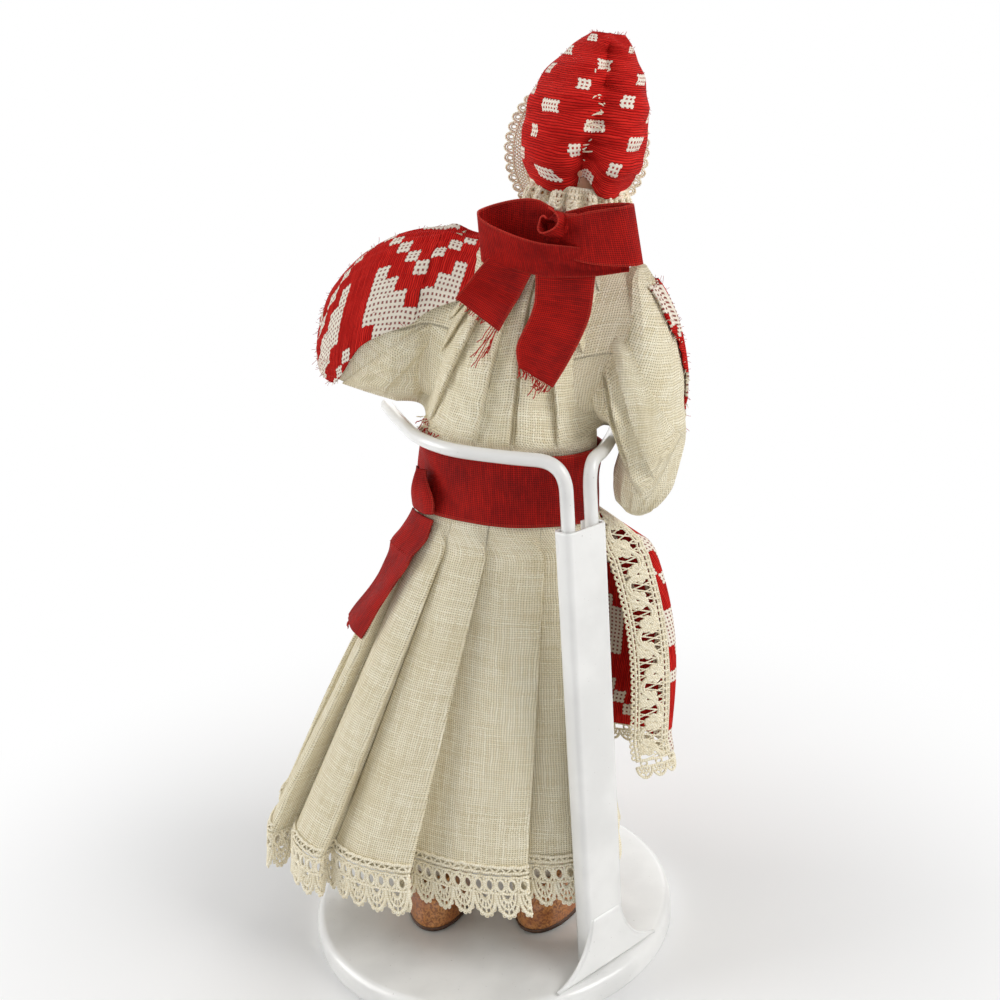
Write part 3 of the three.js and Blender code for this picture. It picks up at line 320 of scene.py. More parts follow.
def tube_rings(lines, radius, sides):
    """Rings round lines of equal length, shape (lines, points, sides, 3), carried along without twist."""
    lines = np.asarray(lines, float)
    tangent = np.gradient(lines, axis=1)
    tangent /= np.linalg.norm(tangent, axis=-1, keepdims=True) + 1e-12
    start = np.where(np.abs(tangent[:, :1, 2:]) < 0.8, np.array([0, 0, 1.0]), np.array([1.0, 0, 0]))[:, 0]
    side = np.zeros_like(lines)
    normal = start
    for k in range(lines.shape[1]):
        normal = normal - (normal * tangent[:, k]).sum(-1, keepdims=True) * tangent[:, k]
        normal = normal / (np.linalg.norm(normal, axis=-1, keepdims=True) + 1e-12)
        side[:, k] = normal
    other = np.cross(tangent, side)
    angle = ring_angles(sides)
    radius = np.broadcast_to(np.asarray(radius, float), lines.shape[:2])[..., None, None]
    return lines[:, :, None] + radius * (side[:, :, None] * np.cos(angle)[:, None]
                                         + other[:, :, None] * np.sin(angle)[:, None])


def tubes(name, groups, sides, material, slot, body, nodes=()):
    """A piece of round threads. Each group is (lines of equal length, radius)."""
    points, faces, cloth = [], [], []
    start = 0
    for lines, radius in groups:
        lines = np.asarray(lines, float)
        rings = tube_rings(lines, radius, sides)
        shape = rings.shape[:3]
        count, length = shape[:2]
        cloth.append(np.stack([
            np.broadcast_to(run_across(lines)[..., None], shape),
            np.broadcast_to(np.arange(sides) / sides, shape),
            np.broadcast_to(np.arange(count)[:, None, None] * THREAD_STEP, shape),
        ], -1).reshape(-1, 3))
        points.append(rings.reshape(-1, 3))
        one = np.array(quads(length, sides, True))
        ends = [list(range(sides))[::-1], list(range((length - 1) * sides, length * sides))]
        for i in range(count):
            offset = start + i * length * sides
            faces.extend((one + offset).tolist())
            faces.extend([[v + offset for v in end] for end in ends])
        start += count * length * sides
    data = mesh_of(name, np.concatenate(points), faces, np.concatenate(cloth))
    dress(name, data, material, slot, body, nodes)


class Lace:
    """Threads laid on a surface, collected for one piece."""

    def __init__(self, surface):
        self.surface = surface
        self.groups = []

    def lay(self, across, down, radius):
        """A thread, or one a row, through the given places."""
        places = np.broadcast_arrays(np.asarray(across, float), np.asarray(down, float))
        points = self.surface(*places)
        self.groups.append((points if points.ndim > 2 else points[None], radius))

    def eyelet(self, across, down, wide, tall, radius):
        a = np.linspace(0, TAU, 13)
        self.lay(across + wide * np.cos(a), down + tall * np.sin(a), radius)

    def scallop(self, start, pitch, heading, wide, deep, radius, count):
        """A hanging arch in each pitch, below the heading."""
        half = np.linspace(0, math.pi, count)
        self.lay(start + pitch * (0.5 - wide * np.cos(half)), heading + deep * np.sin(half), radius)

    def ray(self, start, pitch, heading, deep, angle, out, radius):
        """A straight thread in each scallop, from its middle outwards."""
        across = start + pitch * (0.5 - 0.5 * math.cos(angle) * out)
        self.lay(across, heading + deep * math.sin(angle) * out, radius)


def ribbon_cloth(run, across, width):
    """Cloth coordinates of a ribbon: along it, across it and 1 at its edges; across is from -1 to 1."""
    return np.stack(np.broadcast_arrays(run[:, None], across * width / 2, np.abs(across)), -1)


def spaced(length, pitch):
    """Middles of the equal parts of a length, about one pitch each, as a column."""
    count = int(length / pitch)
    return (np.arange(count)[:, None] + 0.5) * length / count


def through(points, count):
    """A smooth line through points, centripetal as in the part."""
    p = np.asarray(points, float)
    p = np.concatenate([[2 * p[0] - p[1]], p, [2 * p[-1] - p[-2]]])
    t = np.linspace(0, 1, count, endpoint=False)[:, None]
    out = []
    for i in range(1, len(p) - 2):
        d0, d1, d2 = (np.linalg.norm(p[i + k] - p[i + k - 1]) ** 0.5 for k in (0, 1, 2))
        t1 = ((p[i] - p[i - 1]) / d0 - (p[i + 1] - p[i - 1]) / (d0 + d1) + (p[i + 1] - p[i]) / d1) * d1
        t2 = ((p[i + 1] - p[i]) / d1 - (p[i + 2] - p[i]) / (d1 + d2) + (p[i + 2] - p[i + 1]) / d2) * d1
        out.append(hermite(p[i], p[i + 1], t1, t2, t))
    return np.concatenate(out + [p[-2:-1]])


def along(line, count):
    """The line again with evenly spaced points."""
    run = run_along(line)
    at = np.linspace(0, run[-1], count)
    return np.stack([np.interp(at, run, line[:, k]) for k in range(line.shape[1])], 1)


# Material helpers: numbers that nodes work out

def plug(tree, socket, value):
    if isinstance(value, Number):
        tree.links.new(value.socket, socket)
    elif isinstance(value, bpy.types.NodeSocket):
        tree.links.new(value, socket)
    else:
        socket.default_value = value


class Number:
    """A number that shader nodes work out, with the usual signs."""

    def __init__(self, tree, socket):
        self.tree = tree
        self.socket = socket

    def op(self, name, *others):
        node = self.tree.nodes.new("ShaderNodeMath")
        node.operation = name
        for socket, value in zip(node.inputs, (self, *others)):
            plug(self.tree, socket, value)
        return Number(self.tree, node.outputs[0])

    def __add__(self, other):
        return self.op("ADD", other)

    __radd__ = __add__

    def __sub__(self, other):
        return self.op("SUBTRACT", other)

    def __rsub__(self, other):
        return self.op("MULTIPLY_ADD", -1.0, other)

    def __mul__(self, other):
        return self.op("MULTIPLY", other)

    __rmul__ = __mul__

    def __truediv__(self, other):
        return self.op("DIVIDE", other)

    def floor(self):
        return self.op("FLOOR")

    def fract(self):
        return self.op("FRACT")

    def mod(self, size):
        return self.op("FLOORED_MODULO", size)

    def more(self, other):
        return self.op("GREATER_THAN", other)

    def less(self, other):
        return self.op("LESS_THAN", other)

    def top(self, other):
        return self.op("MAXIMUM", other)

    def hump(self):
        """A round thread's height across one pitch, from 0 to 1 and back."""
        return ((self.fract() - 0.5) * math.pi).op("COSINE")

    def between(self, low, high):
        """0 below low, 1 above high, smooth between."""
        node = self.tree.nodes.new("ShaderNodeMapRange")
        node.interpolation_type = "SMOOTHSTEP"
        plug(self.tree, node.inputs["Value"], self)
        node.inputs["From Min"].default_value = low
        node.inputs["From Max"].default_value = high
        return Number(self.tree, node.outputs["Result"])


class Finish:
    """A material of one principled shader, with its cloth coordinates in millimetres."""

    def __init__(self, name, **settings):
        self.material = bpy.data.materials.new(name)
        self.material.use_nodes = True
        self.tree = self.material.node_tree
        self.shader = self.tree.nodes["Principled BSDF"]
        for socket, value in settings.items():
            self.shader.inputs[socket.replace("_", " ")].default_value = value

    def cloth(self):
        node = self.tree.nodes.new("ShaderNodeAttribute")
        node.attribute_name = "cloth"
        split = self.tree.nodes.new("ShaderNodeSeparateXYZ")
        self.tree.links.new(node.outputs["Vector"], split.inputs[0])
        return [Number(self.tree, socket) for socket in split.outputs]

    def place(self):
        """Object coordinates in millimetres."""
        node = self.tree.nodes.new("ShaderNodeTexCoord")
        split = self.tree.nodes.new("ShaderNodeSeparateXYZ")
        self.tree.links.new(node.outputs["Object"], split.inputs[0])
        return [Number(self.tree, socket) * 1000 for socket in split.outputs]

    def vector(self, x, y, z=0.0):
        node = self.tree.nodes.new("ShaderNodeCombineXYZ")
        for socket, value in zip(node.inputs, (x, y, z)):
            plug(self.tree, socket, value)
        return node.outputs[0]

    def noise(self, x, y, z=0.0, scale=1.0, detail=2.0):
        node = self.tree.nodes.new("ShaderNodeTexNoise")
        self.tree.links.new(self.vector(x, y, z), node.inputs["Vector"])
        node.inputs["Scale"].default_value = scale
        node.inputs["Detail"].default_value = detail
        return Number(self.tree, node.outputs["Fac"])

    def mix(self, share, a, b):
        node = self.tree.nodes.new("ShaderNodeMix")
        node.data_type = "RGBA"
        plug(self.tree, node.inputs[0], share)
        plug(self.tree, node.inputs[6], a)
        plug(self.tree, node.inputs[7], b)
        return node.outputs[2]

    def colour(self, value):
        plug(self.tree, self.shader.inputs["Base Color"], value)

    def rough(self, value):
        plug(self.tree, self.shader.inputs["Roughness"], value)

    def bump(self, height, depth, strength):
        """Bump whose full height is depth millimetres."""
        node = self.tree.nodes.new("ShaderNodeBump")
        node.inputs["Distance"].default_value = depth * MM
        node.inputs["Strength"].default_value = strength
        plug(self.tree, node.inputs["Height"], height)
        self.tree.links.new(node.outputs[0], self.shader.inputs["Normal"])


def plain_weave(x, y):
    """Warp and weft heights of a plain weave with one thread a unit."""
    across = x.hump()
    down = y.hump()
    over = (x.floor() + y.floor()).mod(2.0) * 2 - 1
    warp = across * (0.62 + 0.38 * over * down)
    weft = down * (0.62 - 0.38 * over * across)
    return warp, weft


def linen(name, light, dark, gap, pitch=0.62, speck=0.77):
    f = Finish(name, Roughness=0.95, Sheen_Weight=0.04, Sheen_Roughness=0.6, Specular_IOR_Level=0.15)
    u, v, _ = f.cloth()
    u = u + (f.noise(u, v, scale=0.16) - 0.5) * 0.9
    v = v + (f.noise(u, v, 9.0, scale=0.16) - 0.5) * 0.9
    x, y = u / pitch, v / pitch
    warp, weft = plain_weave(x, y)
    warp_tint = f.noise(x.floor() * 3.7, v * 0.09, detail=3)
    weft_tint = f.noise(y.floor() * 3.7 + 50, u * 0.09, detail=3)
    warp = warp * (0.8 + 0.4 * warp_tint)
    weft = weft * (0.8 + 0.4 * weft_tint)
    top = warp.more(weft)
    tint = top * warp_tint + (1 - top) * weft_tint
    height = warp.top(weft)
    thread = f.mix(tint.between(0.25, 0.75), dark, light)
    # Painted shade: where the threads dip, the gaps between them take the darker gap colour
    shade = f.mix(height.between(0.05, 0.62), gap, thread)
    aged = f.noise(u, v, 2.0, scale=0.035, detail=3).between(0.48, 0.72)
    shade = f.mix(aged * 0.3, shade, srgb(196, 178, 130))
    flecks = f.noise(u, v, 4.0, scale=0.8, detail=4).between(speck, speck + 0.04)
    f.colour(f.mix(flecks * 0.6, shade, srgb(118, 92, 54)))
    f.bump(height + tint * 0.4, 0.18, 0.9)
    return f.material


def brocade(name, motif, cell, along_u, gap=(146, 88, 80)):
    """Red float weave on a cream ground that shows as open net where the motif is."""
    pitch, net_pitch = 0.55, cell / 3
    f = Finish(name, Roughness=0.85, Sheen_Weight=0.03, Sheen_Roughness=0.4, Specular_IOR_Level=0.1)
    f.shader.inputs["Sheen Tint"].default_value = srgb(255, 90, 70)
    u, v, _ = f.cloth()
    u = u + (f.noise(u, v, scale=0.2) - 0.5) * 0.6
    v = v + (f.noise(u, v, 9.0, scale=0.2) - 0.5) * 0.6
    run, rank = (u, v) if along_u else (v, u)
    thread = rank / pitch
    tint = f.noise(thread.floor() * 5.3, run * 0.11, detail=3)
    ragged = run + (f.noise(thread.floor() * 9.1, run * 0.3, 4.0) - 0.5) * 1.4
    i = ((ragged if along_u else u) / cell).floor()
    j = ((v if along_u else ragged) / cell).floor()
    open_net = motif(i, j)
    net = (u / net_pitch).hump().top((v / net_pitch).hump())
    white = net.between(0.52, 0.8)
    ground = f.mix(white, srgb(*gap), srgb(238, 230, 215))
    floats = f.mix(tint.between(0.25, 0.75), srgb(190, 20, 18), srgb(232, 46, 38))
    ribs = thread.hump()
    # Painted shade: the floats darken to a deep red in the grooves between threads
    floats = f.mix(ribs.between(0.0, 0.6), srgb(122, 8, 8), floats)
    f.colour(f.mix(open_net, floats, ground))
    height = (ribs * 0.7 + 0.6 + tint * 0.5) * (1 - open_net) + open_net * net * 0.5
    f.bump(height, 0.34, 0.9)
    return f.material


def ribbon_weave(name, light, dark, pitch):
    f = Finish(name, Roughness=0.6, Sheen_Weight=0.04, Sheen_Roughness=0.35, Specular_IOR_Level=0.12)
    f.shader.inputs["Sheen Tint"].default_value = srgb(255, 110, 90)
    u, v, edge = f.cloth()
    x, y = u / pitch + v * 0.12, v / pitch
    warp, weft = plain_weave(x, y)
    height = warp.top(weft)
    tint = f.noise(x.floor() * 3.1, v * 0.2, detail=2) * 0.5 + f.noise(u, v, 3.0, scale=0.12) * 0.5
    thread = f.mix(tint.between(0.3, 0.7), dark, light)
    selvedge = edge.between(0.9, 0.95)
    thread = f.mix(selvedge * 0.3, thread, srgb(206, 78, 62))
    # Painted shade: near-black red in the gaps between the threads
    f.colour(f.mix(height.between(0.1, 0.75), srgb(44, 2, 2), thread))
    f.rough(0.5 + 0.3 * tint)
    f.bump(height + selvedge * 0.4, 0.12, 0.9)
    return f.material


def cotton(name, light, dark):
    """Twisted thread: cloth coordinates run along and round each thread."""
    f = Finish(name, Roughness=0.92, Sheen_Weight=0.08, Sheen_Roughness=0.5, Specular_IOR_Level=0.15)
    run, around, thread = f.cloth()
    tint = f.noise(run * 0.5, thread * 7.0, detail=3)
    twist = (run * 1.6 + around).hump()
    # Colour: random tone along each thread, with painted shade in the grooves of the twist
    f.colour(f.mix((tint * 0.7 + twist * 0.3).between(0.25, 0.75), dark, light))
    f.bump(twist, 0.06, 0.8)
    return f.material


def enamel_white():
    f = Finish("enamel", Roughness=0.3, Coat_Weight=0.6, Coat_Roughness=0.12)
    x, y, z = f.place()
    haze = f.noise(x, y, z, scale=0.06, detail=3)
    orange = f.noise(x, y, z, scale=0.5, detail=1)
    worn = f.noise(x, y, z, scale=1.4, detail=4).between(0.70, 0.74)
    f.colour(f.mix(worn * 0.35, f.mix(haze.between(0.35, 0.7), srgb(238, 238, 236), srgb(226, 226, 224)),
                   srgb(150, 146, 138)))
    f.rough(0.22 + 0.2 * haze)
    f.bump(orange, 0.05, 0.5)
    return f.material


def leather_tan():
    f = Finish("shoe_leather", Roughness=0.3, Coat_Weight=0.4, Coat_Roughness=0.2)
    x, y, z = f.place()
    grain = f.noise(x, y, z, scale=1.6, detail=4)
    cloud = f.noise(x, y, z, scale=0.16, detail=3)
    colour = f.mix(cloud.between(0.3, 0.7), srgb(178, 104, 44), srgb(214, 148, 80))
    f.colour(f.mix(grain.between(0.35, 0.6), srgb(140, 78, 34), colour))
    f.rough(0.25 + 0.25 * grain)
    f.bump(grain, 0.08, 0.6)
    return f.material


def doll_skin():
    f = Finish("cotton_skin", Roughness=0.85, Sheen_Weight=0.2)
    x, y, z = f.place()
    warp, weft = plain_weave(x / 0.3 + y * 0.7, z / 0.3)
    height = warp.top(weft)
    blush = f.noise(x, y, z, scale=0.12, detail=2)
    colour = f.mix(blush.between(0.35, 0.7), srgb(232, 190, 158), srgb(238, 178, 150))
    # Painted shade: the gaps of the weave take a darker skin colour
    f.colour(f.mix(height.between(0.0, 0.6), srgb(190, 140, 112), colour))
    f.bump(height, 0.05, 0.6)
    return f.material


def painted(name, colour, dark):
    f = Finish(name, Roughness=0.5)
    x, y, z = f.place()
    f.colour(f.mix(f.noise(x, y, z, scale=1.8, detail=3).between(0.35, 0.65), dark, colour))
    f.bump(f.noise(x, y, z, scale=3.0), 0.03, 0.5)
    return f.material


def pressed_board():
    f = Finish("pressed_board", Roughness=0.95)
    x, y, z = f.place()
    fibre = f.noise(x * 0.4, y, z, scale=0.9, detail=4)
    f.colour(f.mix(fibre.between(0.3, 0.7), srgb(120, 98, 70), srgb(168, 146, 112)))
    f.bump(fibre, 0.12, 0.7)
    return f.material


def zigzag(i, j):
    """A zigzag chain of single blocks, and stepped triangles between its turns."""
    zig = (i.mod(10.0) - 5).op("ABSOLUTE")
    k = (j + zig).mod(10.0)
    single = k.less(0.5)
    broad = k.more(3.5) * k.less(7.5) * zig.more(1.5)
    return single.top(broad * (j.mod(10.0)).less(6.5))


def scattered(i, j):
    """Single blocks, apart, in staggered rows, with a second one beside every other."""
    single = (i + 4 * j).mod(10.0).less(0.5)
    double = (i + 4 * j + 1).mod(20.0).less(0.5)
    return single.top(double)


# Each linen takes its thread colours, then the colour of the painted shade in the gaps between its threads
LINEN = linen("linen", srgb(253, 247, 225), srgb(230, 218, 184), srgb(146, 129, 90))
STOCKING = linen("stocking", srgb(240, 234, 222), srgb(222, 213, 196), srgb(186, 172, 146),
                 pitch=0.4, speck=0.9)
SLEEVE_RED = brocade("sleeve_weave", zigzag, 3.3, False)
CAP_RED = brocade("cap_weave", scattered, 2.9, True, gap=(176, 34, 30))
APRON_RED = brocade("apron_weave", zigzag, 3.6, False)
RIBBON_RED = ribbon_weave("ribbon_red", srgb(196, 28, 20), srgb(140, 12, 9), pitch=0.46)
SASH_RED = ribbon_weave("sash_red", srgb(192, 30, 22), srgb(138, 14, 11), pitch=0.48)
LACE_THREAD = cotton("lace_thread", srgb(252, 246, 226), srgb(228, 214, 180))
RIBBON_THREAD = cotton("ribbon_thread", srgb(196, 52, 42), srgb(150, 22, 20))
RED_THREAD = cotton("red_thread", srgb(206, 30, 26), srgb(140, 10, 10))
FLAX = cotton("flax_hair", srgb(222, 190, 120), srgb(160, 118, 60))
ENAMEL = enamel_white()
LEATHER = leather_tan()
SKIN = doll_skin()
BOARD = pressed_board()
SOLE = painted("shoe_sole", srgb(84, 50, 24), srgb(52, 30, 14))
CUFF_RED = brocade("cuff_weave", scattered, 2.4, True)
PAINT_WHITE = painted("paint_white", srgb(240, 238, 232), srgb(226, 222, 214))
PAINT_BLUE = painted("paint_blue", srgb(96, 132, 164), srgb(66, 98, 132))
PAINT_DARK = painted("paint_dark", srgb(44, 34, 30), srgb(28, 22, 20))
PAINT_BROWN = painted("paint_brown", srgb(150, 108, 64), srgb(120, 84, 48))
PAINT_BLUSH = painted("paint_blush", srgb(232, 160, 142), srgb(236, 172, 150))
PAINT_LIP = painted("paint_lip", srgb(190, 82, 78), srgb(168, 66, 64))


# Stand

def lathe(profile, sides=144):
    angle = ring_angles(sides)
    profile = np.asarray(profile, float)
    radius, height = profile[:, :1], profile[:, 1:]
    tall = np.broadcast_to(height, (len(profile), sides))
    return np.stack([radius * np.cos(angle), radius * np.sin(angle), tall], -1)


def arc(cx, cy, radius, start, end, count):
    angle = np.radians(np.linspace(start, end, count))
    return [(cx + radius * math.cos(a), cy + radius * math.sin(a)) for a in angle]


def stand_base():
    edge = BASE_RADIUS - BASE_EDGE
    inside = BASE_RADIUS - BASE_SHEET
    under = BASE_HEIGHT - BASE_SHEET
    turn = BASE_HEIGHT - BASE_EDGE
    profile = [(0.4, BASE_HEIGHT), (12, BASE_HEIGHT), (30, BASE_HEIGHT), (edge - 2, BASE_HEIGHT)]
    profile += arc(edge, turn, BASE_EDGE, 90, 0, 10)
    profile += [(BASE_RADIUS, 1.2)] + arc(BASE_RADIUS - 0.4, 0.4, 0.4, 0, -90, 4)
    profile += [(inside, 0), (inside, turn)]
    profile += arc(edge, turn, BASE_EDGE - BASE_SHEET, 0, 90, 6)
    profile += [(12, under), (0.4, under)]
    solid("enamel_base", lathe(profile), ENAMEL, "enamel", "stand", ["stand_base"])


POST = Place((POST_DISTANCE * math.cos(POST_BEARING), POST_DISTANCE * math.sin(POST_BEARING), DOLL_FLOOR),
             turned(math.degrees(POST_BEARING) - 90))
POCKET = WIRE + 2 * WIRE_PLAY
POST_DEPTH = POCKET + 2 * POST_SHEET
POST_HALF = LEG_SPACING / 2 + POCKET / 2 + POST_SHEET


def post_section():
    """Outline of the rolled sheet, round the outside and back along the inside."""
    half, roll, near = POST_HALF, POST_ROLL, -POST_DEPTH
    inner = POST_ROLL - POST_SHEET
    right = arc(half - roll, -roll, roll, 90, 0, 7) + arc(half - roll, near + roll, roll, 0, -90, 7)
    lip = half - POST_LIP
    right += [(lip, near), (lip - 0.3, near + POST_SHEET / 2), (lip, near + POST_SHEET)]
    right += arc(half - roll, near + roll, inner, -90, 0, 5) + arc(half - roll, -roll, inner, 0, 90, 5)
    left = [(-x, y) for x, y in right[::-1]]
    return np.array(right + left)


def foot_bow(x):
    """How far the foot's face bows out, falling to nothing at its corners."""
    return 0.25 * (1 - (x / FOOT_WIDTH * 2) ** 2)


def stand_post():
    section = post_section()
    heights = [0, FOOT_HEIGHT, POST_HEIGHT * 0.6, POST_HEIGHT - 0.4, POST_HEIGHT]
    widths = [1, 1, 1, 1, 0.985]
    rings = np.stack([POST(section[:, 0] * w, section[:, 1], h) for w, h in zip(widths, heights)])
    solid("rolled_post", rings, ENAMEL, "enamel", "stand", ["stand_post"])
    flat = POST_HALF - POST_ROLL
    t = np.linspace(0, 1, 12)
    x = (1 - t) ** 2 * FOOT_WIDTH / 2 + 2 * t * (1 - t) * (POST_HALF + 0.5) + t ** 2 * flat
    z = 2 * t * (1 - t) * FOOT_HEIGHT * 0.15 + t ** 2 * FOOT_HEIGHT
    side = np.linspace(-1, 1, 15)
    face = -POST_SHEET / 2
    points = np.stack([POST(side * w, face + foot_bow(side * w), h) for w, h in zip(x, z)])
    grid("post_foot", points, np.zeros(points.shape), ENAMEL, "enamel", "stand", thick=POST_SHEET)
    for name, sign in (("left", -1), ("right", 1)):
        bead = POST(sign * x, face, z)[None]
        tubes(f"post_foot_edge_{name}", [(bead, POST_SHEET * 0.62)], 8, ENAMEL, "enamel", "stand")


def quadratic(a, b, c, count=14):
    t = np.linspace(0, 1, count, endpoint=False)[:, None]
    return (1 - t) ** 2 * a + 2 * t * (1 - t) * b + t ** 2 * c


def clip_wire():
    """One coated wire: round the waist, down one leg, up the other and round the other side."""
    def ring(x, y):
        return WAIST(x, y, RING_HEIGHT)

    left = [ring(SASH_A + 14.3, -14.2), ring(SASH_A + 4.9, 0.7), ring(SASH_A * 0.8, SASH_B - 3),
            ring(SASH_A * 0.38, SASH_B + 3.6), ring(-SASH_A * 0.16, SASH_B + 5.5)]
    out = -SASH_A - 2
    right = [ring(out, SASH_B - 6), ring(out, 0), ring(out + 0.6, -SASH_B * 0.6), ring(out + 1.6, -SASH_B)]
    legs = [POST(s * LEG_SPACING / 2, -POST_DEPTH / 2, 0) for s in (1, -1)]
    foot_z = DOLL_FLOOR + POST_HEIGHT - LEG_LENGTH

    def corner(leg, arm):
        at = np.array([leg[0], leg[1], arm[2]])
        reach = np.linalg.norm(arm - at)
        return at - [0, 0, RING_CORNER], at, at + (arm - at) / reach * min(RING_CORNER, 0.5 * reach)

    low_l, at_l, out_l = corner(legs[0], left[-1])
    low_r, at_r, out_r = corner(legs[1], right[0])
    feet = [np.array([leg[0], leg[1], foot_z]) for leg in legs]
    middle = (feet[0] + feet[1]) / 2 - [0, 0, LEG_SPACING / 2]
    under = [np.array([f[0], f[1], middle[2]]) for f in feet]
    line = np.concatenate([
        through(left + [out_l], 12)[:-1],
        quadratic(out_l, at_l, low_l),
        quadratic(low_l, (low_l + feet[0]) / 2, feet[0]),
        quadratic(feet[0], under[0], middle),
        quadratic(middle, under[1], feet[1]),
        quadratic(feet[1], (low_r + feet[1]) / 2, low_r),
        quadratic(low_r, at_r, out_r),
        through([out_r] + right, 12),
    ])
    line = along(line, 420)
    radius = np.full(len(line), WIRE / 2)
    tip = np.array([0.35, 0.72, 0.92])
    radius[:3] *= tip
    radius[-3:] *= tip[::-1]
    tubes("coated_wire", [(line[None], radius[None])], 20, ENAMEL, "enamel", "clip", ["clip_wire"])


# Skirt

TOP_POINT = WAIST(0, 0, SKIRT_TOP)
HEM_POINT = np.array([11.5, 3.0, 27.5 + DOLL_FLOOR])


def skirt_point(v, angle, push, drop=0.0):
    v, angle, push = np.broadcast_arrays(*[np.asarray(c, float) for c in (v, angle, push)])
    power = 2 / lerp(2, HEM_SQUARENESS, v)
    a = lerp(WAIST_A, HEM_WIDTH / 2, v) + push
    b = lerp(WAIST_B, HEM_DEPTH / 2, v) + push
    x = a * np.sign(np.cos(angle)) * np.abs(np.cos(angle)) ** power
    y = b * np.sign(np.sin(angle)) * np.abs(np.sin(angle)) ** power
    tilt = WAIST_TILT * (1 - v)
    middle = TOP_POINT + (HEM_POINT - TOP_POINT) * v[..., None]
    return middle + np.stack([x * np.cos(tilt), y, x * np.sin(tilt) - drop], -1)


# One knife pleat, across one pitch: a slow rise to a fold that lies over the next pleat
PLEAT_TURN = [0.03, 0.22, 0.5, 0.8, 1.0, 1.07, 1.085, 1.06, 1.0, 1.03]
PLEAT_RISE = [-2.4, -1.35, -0.2, 0.65, 1.0, 1.0, 0.8, 0.0, -1.2, -2.4]
PLEAT_AT = np.linspace(0, 1, len(PLEAT_TURN))
PLEAT_WIDE = 1 + 0.14 * np.sin(np.arange(PLEATS) * 2.4 + 0.5)
PLEAT_START = np.concatenate([[0], np.cumsum(PLEAT_WIDE)]) / PLEAT_WIDE.sum()
PLEAT_TALL = 0.82 + 0.18 * np.cos(np.arange(PLEATS) * 1.9)


def skirt_at(t, v, lift=0.0, drop=0.0):
    """A point of the pleated skirt: t runs once round, v from the waist to the hem."""
    t = np.asarray(t, float) % 1.0
    share = t * PLEATS
    k = np.minimum(share.astype(int), PLEATS - 1)
    s = share - k
    v = np.asarray(v, float)
    near = np.interp(s, PLEAT_AT, PLEAT_TURN)
    turn = lerp(s + 0.03, near, smooth(v / 0.09))
    angle = TAU * (PLEAT_START[k] + turn * (PLEAT_START[k + 1] - PLEAT_START[k]))
    depth = PLEAT_DEPTH * np.maximum(v, 0) ** 0.6 * PLEAT_TALL[k]
    rise = np.interp(s, PLEAT_AT, PLEAT_RISE)
    sway = 0.45 * v * np.sin(9 * v + 3.1 * k) * (rise > -0.5)
    return skirt_point(v, angle, depth * rise + sway + lift, drop)


def skirt():
    per = 26
    t = np.arange(PLEATS * per + 1) / (PLEATS * per)
    t[-1] = 1 - 1e-9
    v = np.concatenate([[0], np.linspace(0.02, 1, 54)])
    tt, vv = np.meshgrid(t, v)
    points = skirt_at(tt, vv)
    band = np.stack([WAIST(WAIST_A * np.cos(TAU * t), WAIST_B * np.sin(TAU * t), z) for z in (-0.3, -4.5)])
    points = np.concatenate([band, points])
    run = run_across(points)
    pleat = np.minimum((t * PLEATS).astype(int), PLEATS - 1)
    middle = run[:, (np.arange(PLEATS) * per + per // 2)][:, pleat]
    u = run - middle + pleat * 31.7
    down = run_along(points[:, per // 2])
    cloth = cloth_of(u, down)
    piece = grid("pleated_skirt", points, cloth, LINEN, "linen", "doll", ["skirt"], thick=0.7)
    sheet_area(points)


def hem_lace():
    """Crocheted edging: a heading of loops, a row of eyelets, and scallops."""
    heading, deep = 4.6, 5.9
    t = np.linspace(0, 1, 2400, endpoint=False)
    ring = skirt_at(t, 1.0)
    run = run_along(np.concatenate([ring, ring[:1]]))
    total = run[-1]
    units = int(round(total / 5.6))
    pitch = total / units
    start = np.arange(units)[:, None] * pitch

    def surface(s, d):
        at = np.interp(s % total, run, np.append(t, 1.0)) % 1.0
        v = 1 + np.minimum(d, 0) / 88
        lift = np.where(d < 0, 0.75, 0.45) + 0.12 * np.maximum(d, 0)
        return skirt_at(at, v, lift, np.maximum(d, 0))

    lace = Lace(surface)
    s = np.linspace(0, total, 1500)
    for d, radius in ((-2.4, 0.42), (-0.9, 0.34), (0.4, 0.34), (heading, 0.42)):
        lace.lay(s, d + 0.1 * np.sin(s * 2.3), radius)
    zig = np.linspace(0, 1, 9)
    lace.lay(start + zig * pitch, -1.65 + 0.72 * np.cos(zig * 4 * math.pi), 0.3)
    for centre in (0.25, 0.75):
        lace.eyelet(start + pitch * centre, 2.5, 1.05, 1.55, 0.4)
    for centre in (0.0, 0.5):
        lace.lay(start + pitch * centre, np.linspace(0.4, heading, 5), 0.36)
    for wide, tall, radius in ((0.5, deep, 0.5), (0.36, 4.2, 0.38), (0.2, 2.3, 0.36)):
        lace.scallop(start, pitch, heading, wide, tall, radius, 15)
    for ray in np.radians([35, 62, 90, 118, 145]):
        lace.ray(start, pitch, heading, deep, ray, np.linspace(0.25, 1, 4), 0.3)
    for ray in np.radians(np.linspace(20, 160, 7)):
        across = start + pitch * (0.5 - 0.5 * math.cos(ray))
        lace.eyelet(across, heading + deep * math.sin(ray) + 0.35, 0.42, 0.42, 0.22)
    tubes("hem_lace", lace.groups, 5, LACE_THREAD, "lace", "doll", ["skirt_lace"])


# Blouse, sash and ties

TORSO_Z = [-26, 0, 9.05, 16.38, 30, 44.08, 52, 57, 64]
TORSO_A = [19, 20.4, 20.4, 17.1, 16, 15.7, 14.5, 8, 6]
TORSO_B = [13.2, 14.2, 14.2, 14.2, 14.2, 12.79, 9.5, 7, 6]
TORSO_X = [0, 0, 0, 0, 0, 0, 0, -1, -2]
TORSO_Y = [0, 0, 0, 0, 0, 0, 0, -1, -2.5]


